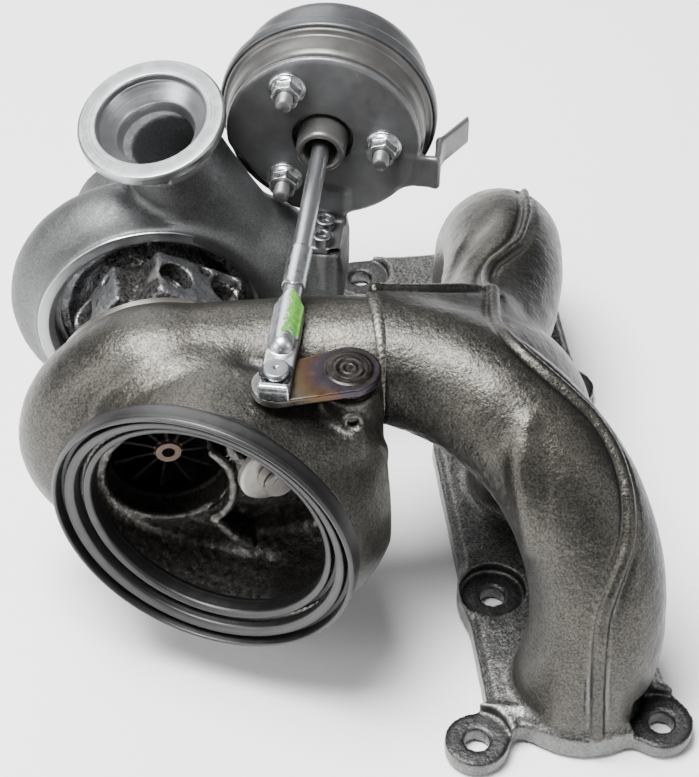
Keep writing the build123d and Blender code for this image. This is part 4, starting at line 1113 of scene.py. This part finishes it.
def pin_and_clip():
    """The grooved pin head and the sprung clip round it."""
    place = Place((*PIN, LEVER_Z), (0, 0, 1), (ROD_AXIS[1], -ROD_AXIS[0], 0))
    outline = [(0.01, 0.05), (2.95, 0.05), (2.95, 3.05), (3.9, 3.05), (3.2, 3.25), (3.2, 7.1), (2.6, 7.1),
               (2.6, 7.9), (4.2, 7.9), (4.2, 9.5), (3.7, 9.95), (0.9, 9.95), (0.5, 9.6), (0.01, 9.6)]
    steel = brushed("pin_steel", place, ((0.22, 0.23, 0.24), (0.33, 0.34, 0.35)), 0.8, 0.30)
    add_piece("lever_pin_head", lathe("lever_pin_head", place, outline, 0.2, 96), "crank",
              steel, ("lever_pin",))
    clay = Clay(np.array((*PIN, 125.9)) - (7, 7, 0), np.array((*PIN, 127.2)) + (7, 7, 0), 0.24)
    clay.add(drum(place, 5.35, 7.2, 7.8, 0.15))
    clay.cut(drum(place, 3.9, 6, 9, 0.1))
    for turn in (90, 205, 335):
        arm = Place(place.at, (0, 0, 1), math.cos(math.radians(turn)) * place.x
                    + math.sin(math.radians(turn)) * place.y)
        clay.add(slab(arm, (2.65, -0.95, 7.2), (4.6, 0.95, 7.8), 0.15), 0.5)
        clay.cut(ball(arm.out((5.5, 0, 7.5))[0], 0.6 if turn != 90 else 0.01), 0.3)
    clay.cut(slab(place, (-2.5, -9, 6), (2.5, -2, 9), 0.2), 0.3)
    dark = satin("spring_clip_steel", (0.018, 0.018, 0.020), (0.045, 0.045, 0.048), 0.3, 0.9)
    clay_piece(clay, "spring_clip", "crank", dark, ("pin_clip",), 0.0, 51)


# Actuator

def bracket():
    """The bracket plate with its rolled edge, the leg down to the compressor and the side tab."""
    clay = Clay((-111, 43, 78), (-18, 76.5, 162.5), 0.6)
    clay.add(drum(CAN, 33.3, 0, 2.5, 1.15))
    clay.add(drum(CAN, 32.4, 0.0, 1.6, 0.8), 0.5)
    turn = math.radians(50)
    flat = Place(CAN.at, CAN.z, math.cos(turn) * CAN.x + math.sin(turn) * CAN.y)
    clay.cut(slab(flat, (-30, 29.4, -5), (30, 49, 6), 0.5), 2)
    clay.add(slab(CAN, (-5, 22, 0), (8, 37.8, 2.5), 0.8), 3)
    clay.add(slab(CAN, (-5, 35.5, -16), (8, 38, 2.5), 0.9), 2.5)
    clay.add(slab(CAN, (26, 5, 0.2), (39.6, 18, 2.5), 0.8), 3)
    clay.add(slab(CAN, (37.9, 6.2, 0.4), (40.1, 17.8, 14), 0.9), 2)
    lean = math.radians(32)
    tab = Place(CAN.out((39, 12, 13))[0], CAN.z * math.cos(lean) + CAN.x * math.sin(lean), (0, 0, 1))
    clay.add(slab(tab, (-5.5, -0.95, -1), (5.5, 0.95, 17), 0.8), 1.5)
    clay.cut(drum(CAN, 10.4, -4, 6, 0.5))
    for x, z in STUD_SPOTS:
        clay.cut(drum(CAN.shifted(x, -z, 0), 3.05, -3, 6, 0.2))
    for s in FOOT_SPOTS:
        clay.cut(drum(foot_place(s), 2.3, 30, 44, 0.2))
    look = satin("bracket_plate_steel", (0.120, 0.121, 0.125), (0.165, 0.167, 0.170), 0.38, 0.7, 1.1, 0.03)
    clay_piece(clay, "bracket_plate", "housing", look, ("actuator_bracket",), 0.03, 61)


def shells():
    """The actuator can: pressed front band, double crimp and the rear dome."""
    front = [(5.6, -7.0), (6.6, -8.0), (7.6, -8.0), (8.4, -7.0), (8.5, -1.5), (8.8, 2.6), (31.0, 2.6), (33.2, 3.2),
             (34.1, 5.2), (34.2, 11.9), (35.0, 12.5), (36.1, 12.9), (36.3, 14.0), (36.1, 15.2), (31.0, 15.4),
             (31, 14.2), (32.9, 13.2), (32.9, 5.6), (31, 3.9), (5.6, 3.9)]
    rear = [(36.4, 13.8), (37.2, 14.0), (37.6, 14.8), (37.6, 17.9), (37.2, 18.8), (35.0, 19.2), (33.9, 19.9),
            (33.7, 29.5), (32.8, 33.0), (30.0, 35.4), (25, 36.4), (2.2, 36.4), (2.2, 35), (24.6, 35), (30, 33.2),
            (32, 29.6), (32.2, 17.2), (36.3, 17.2)]
    coat = satin("front_shell_coat", (0.075, 0.074, 0.072), (0.105, 0.103, 0.100), 0.36, 0.6)
    dome = satin("dome_coat", (0.050, 0.052, 0.056), (0.074, 0.076, 0.080), 0.36, 0.55)
    add_piece("front_can", lathe("front_can", CAN, front, 0.7, 200), "housing", coat,
              ("actuator_front_shell",))
    add_piece("rear_can", lathe("rear_can", CAN, rear, 0.9, 200), "housing", dome,
              ("actuator_rear_shell",))


def threaded(name, place, radius, start, end, pitch, chamfer):
    """A stud with a helical thread between two heights and a chamfered end."""
    turns, per = (end - start) / pitch, 48
    rows = []
    depth = 0.32
    steps = int(turns * 8)
    for i in range(steps + 1):
        h = start + (end - start) * i / steps
        for j in range(per):
            phase = (h / pitch - j / per) % 1
            r = radius - depth * (1 - abs(2 * phase - 1))
            r = min(r, radius - chamfer + max(0.0, (h - start)) * 1.0)
            turn = 2 * math.pi * j / per
            rows.append((r * math.cos(turn), r * math.sin(turn), h))
    n = steps + 1
    tops = [(0, 0, start), (0, 0, end)]
    points = np.array(rows + tops)
    faces = []
    for i in range(n - 1):
        for j in range(per):
            k = (j + 1) % per
            faces.append((i * per + j, i * per + k, (i + 1) * per + k))
            faces.append((i * per + j, (i + 1) * per + k, (i + 1) * per + j))
    for j in range(per):
        k = (j + 1) % per
        faces.append((n * per, k, j))
        faces.append((n * per + 1, (n - 1) * per + j, (n - 1) * per + k))
    return sharpen(new_mesh(name, place.out(points), faces), 50)


def nuts_and_studs():
    """Three chamfered flange nuts on threaded studs."""
    steel = zinc("nut_zinc")
    grey = satin("stud_phosphate", (0.15, 0.15, 0.15), (0.24, 0.24, 0.24), 0.42, 0.85)
    for i, (x, z) in enumerate(STUD_SPOTS, 1):
        place = CAN.shifted(x, -z, 0)
        turned = Place(place.at, place.z, place.x * math.cos(0.35 + i) + place.y * math.sin(0.35 + i))
        clay = Clay(place.at - 9.2, place.at + 9.2, 0.27)
        clay.add(drum(turned, 4.45, -6.0, -1.2, 0.15, sides=6))
        hood = clay.blank()
        hood.add(drum(turned, 4.5, -6.25, -0.6, 0.1, 7.6))
        clay.field = np.maximum(clay.field, hood.field)
        clay.add(drum(turned, 5.2, -2.4, -0.7, 0.3, 6.0), 0.5)
        clay.add(drum(turned, 6.35, -1.2, -0.05, 0.4), 0.3)
        clay.cut(drum(turned, 2.9, -12, 4, 0.1))
        clay.cut(drum(turned, 3.6, -6.6, -5.6, 0.05, 2.8))
        clay_piece(clay, f"flange_nut_{i}", "housing", steel, ("actuator_nuts",), 0.02, 70 + i)
        mesh = threaded(f"stud_{i}", place, 2.85, -11, 3.9, 0.95, 0.75)
        add_piece(f"stud_{i}", mesh, "housing", grey, ("actuator_studs",))


def bracket_bolts():
    """The two socket cap screws through the bracket's foot."""
    look = zinc("screw_zinc", ((0.20, 0.20, 0.21), (0.36, 0.37, 0.38)), 0.32)
    for i, s in enumerate(FOOT_SPOTS, 1):
        foot = CAN.out((FOOT_X, 0, s))[0]
        place = Place((foot[0], foot[1], 90.52), (0, 0, -1), CAN.x)
        clay = Clay(place.at - (5.2, 5.2, 14.2), place.at + (5.2, 5.2, 4.8), 0.3)
        clay.add(drum(place, 3.5, -4, 0, 0.4))
        clay.add(drum(place, 2.0, -1, 14, 0.4))
        clay.cut(drum(place, 1.65, -6, -1.9, 0.1, sides=6), 0.2)
        clay_piece(clay, f"cap_screw_{i}", "housing", look, ("bracket_screws",), 0.0, 80 + i)


# Materials for the CAD nodes that are shown as they are

def dress(names, look):
    for name in names:
        mesh = nodes[name].data
        mesh.materials.clear()
        mesh.materials.append(look)


def dress_nodes():
    wheel = Place((ROTOR_X, 0, ROTOR_Z), (0, 1, 0))
    rod_place = Place((*PIN, ROD_Z), ROD_AXIS)
    dress(["turbine_wheel"], sooted_wheel(wheel))
    dress(["compressor_wheel"], milled_steel("wheel_aluminium", wheel, ((0.50, 0.51, 0.52), (0.68, 0.69, 0.70),
                                                                         (0.42, 0.43, 0.44)), 0.4, 0.2))
    dress(["rotor_shaft", "thrust_collar", "oil_flinger", "turbine_piston_ring", "compressor_piston_ring"],
          milled_steel("ground_steel", wheel, ((0.38, 0.38, 0.39), (0.55, 0.55, 0.56), (0.30, 0.30, 0.31)),
                       0.35, 0.2, 0.01))
    dress(["shaft_nut", "seal_plate_ring", "housing_snap_ring"],
          satin("spring_steel", (0.045, 0.045, 0.048), (0.085, 0.085, 0.088), 0.34, 0.9))
    dress(["seal_plate", "oil_baffle", "heat_shield"],
          milled_steel("plain_steel", wheel, ((0.26, 0.26, 0.26), (0.42, 0.42, 0.42), (0.20, 0.19, 0.18)),
                       0.5, 0.3))
    dress(["turbine_bearing", "compressor_bearing", "thrust_bearing"],
          milled_steel("bearing_bronze", wheel, ((0.42, 0.24, 0.09), (0.62, 0.40, 0.17), (0.34, 0.19, 0.08)),
                       0.4, 0.28))
    dress(["turbine_clamp"], milled_steel("band_stainless", wheel, ((0.36, 0.34, 0.31), (0.52, 0.50, 0.46),
                                                                     (0.30, 0.25, 0.19)), 0.7, 0.26))
    dress(["clamp_bolt", "clamp_nut"], zinc("clamp_zinc", ((0.34, 0.33, 0.28), (0.52, 0.50, 0.42))))
    dress(["wastegate_valve", "wastegate_washer", "wastegate_arm", "bush_pin"],
          satin("gate_steel_heated", (0.20, 0.19, 0.175), (0.33, 0.315, 0.29), 0.42, 0.85, 0.9, 0.05))
    dress(["wastegate_shaft", "wastegate_bush"],
          brushed("bush_steel", SHAFT, ((0.42, 0.38, 0.33), (0.62, 0.58, 0.52)), 0.35, 0.22))
    dress(["actuator_rod"], brushed("rod_ground_steel", rod_place, ((0.40, 0.41, 0.43), (0.50, 0.51, 0.53)),
                                    0.9, 0.30))
    dress(["diaphragm"],
          satin("diaphragm_rubber", (0.012, 0.012, 0.012), (0.028, 0.028, 0.028), 0.6, 0.0, 0.6))
    dress(["actuator_piston", "vacuum_nipple"], zinc("pressed_zinc"))
    dress(["actuator_spring"], satin("spring_wire", (0.09, 0.09, 0.09), (0.16, 0.16, 0.16), 0.35, 0.9))


# Floor, lights and camera

# Each soft box: its name, place in metres, width in metres and watts
LAMPS = (("key", (-0.40, -0.05, 1.25), 0.60, 58), ("fill", (0.9, -0.7, 0.7), 0.5, 3),
         ("back", (-0.3, 1.2, 0.8), 0.8, 9), ("left", (-1.1, -0.4, 0.5), 0.6, 8))
FLOOR_SIZE, FLOOR_Z, SKY = 30.0, -0.0008, 0.25


def stage():
    """A plain pale floor with soft light from above, the left and behind."""
    mesh = bpy.data.meshes.new("floor")
    mesh.from_pydata([(x * FLOOR_SIZE, y * FLOOR_SIZE, FLOOR_Z)
                      for x, y in ((-1, -1), (1, -1), (1, 1), (-1, 1))], [], [(0, 1, 2, 3)])
    floor = bpy.data.objects.new("floor", mesh)
    bpy.context.scene.collection.objects.link(floor)
    look = Look("floor_paper", metallic=0.0, specular=0.1)
    mesh.materials.append(look.finish((0.93, 0.93, 0.93), 0.9))
    world = bpy.data.worlds.new("studio")
    bpy.context.scene.world = world
    world.use_nodes = True
    world.node_tree.nodes["Background"].inputs[0].default_value = (1.0, 1.0, 1.0, 1)
    world.node_tree.nodes["Background"].inputs[1].default_value = SKY
    middle = np.array((-0.07, 0.0, 0.08))
    for name, spot, width, power in LAMPS:
        lamp = bpy.data.lights.new(name, "AREA")
        lamp.size, lamp.energy = width, power
        obj = bpy.data.objects.new(name, lamp)
        aim = middle - np.array(spot)
        side = unit(np.cross(aim, (0, 0, 1)))
        up = np.cross(side, unit(aim))
        obj.matrix_world = Matrix([(*r, p) for r, p in zip(np.column_stack([side, up, -unit(aim)]), spot)]
                                  + [(0, 0, 0, 1)])
        bpy.context.scene.collection.objects.link(obj)


def camera():
    """A long lens looking down on the outlet side."""
    azimuth, elevation, roll = math.radians(7.94), math.radians(44.89), math.radians(0.99)
    forward = np.array((math.sin(azimuth) * math.cos(elevation), math.cos(azimuth) * math.cos(elevation),
                        -math.sin(elevation)))
    right = np.array((math.cos(azimuth), -math.sin(azimuth), 0))
    up = np.cross(right, forward)
    right, up = (math.cos(roll) * right + math.sin(roll) * up, math.cos(roll) * up - math.sin(roll) * right)
    data = bpy.data.cameras.new("camera")
    data.lens, data.sensor_width, data.sensor_fit = 104.4, 36.0, "AUTO"
    obj = bpy.data.objects.new("camera", data)
    spot = (-0.1418, -0.5384, 0.6054)
    obj.matrix_world = Matrix([(*r, p) for r, p in zip(np.column_stack([right, up, -forward]), spot)]
                              + [(0, 0, 0, 1)])
    bpy.context.scene.collection.objects.link(obj)
    bpy.context.scene.camera = obj


camera()
stage()
manifold()
weld_bead()
turbine_casting()
outlet_rim()
compressor_casting()
machined_aluminium()
centre_casting()
lever()
rod_fork()
pin_and_clip()
bracket()
shells()
nuts_and_studs()
bracket_bolts()
dress_nodes()
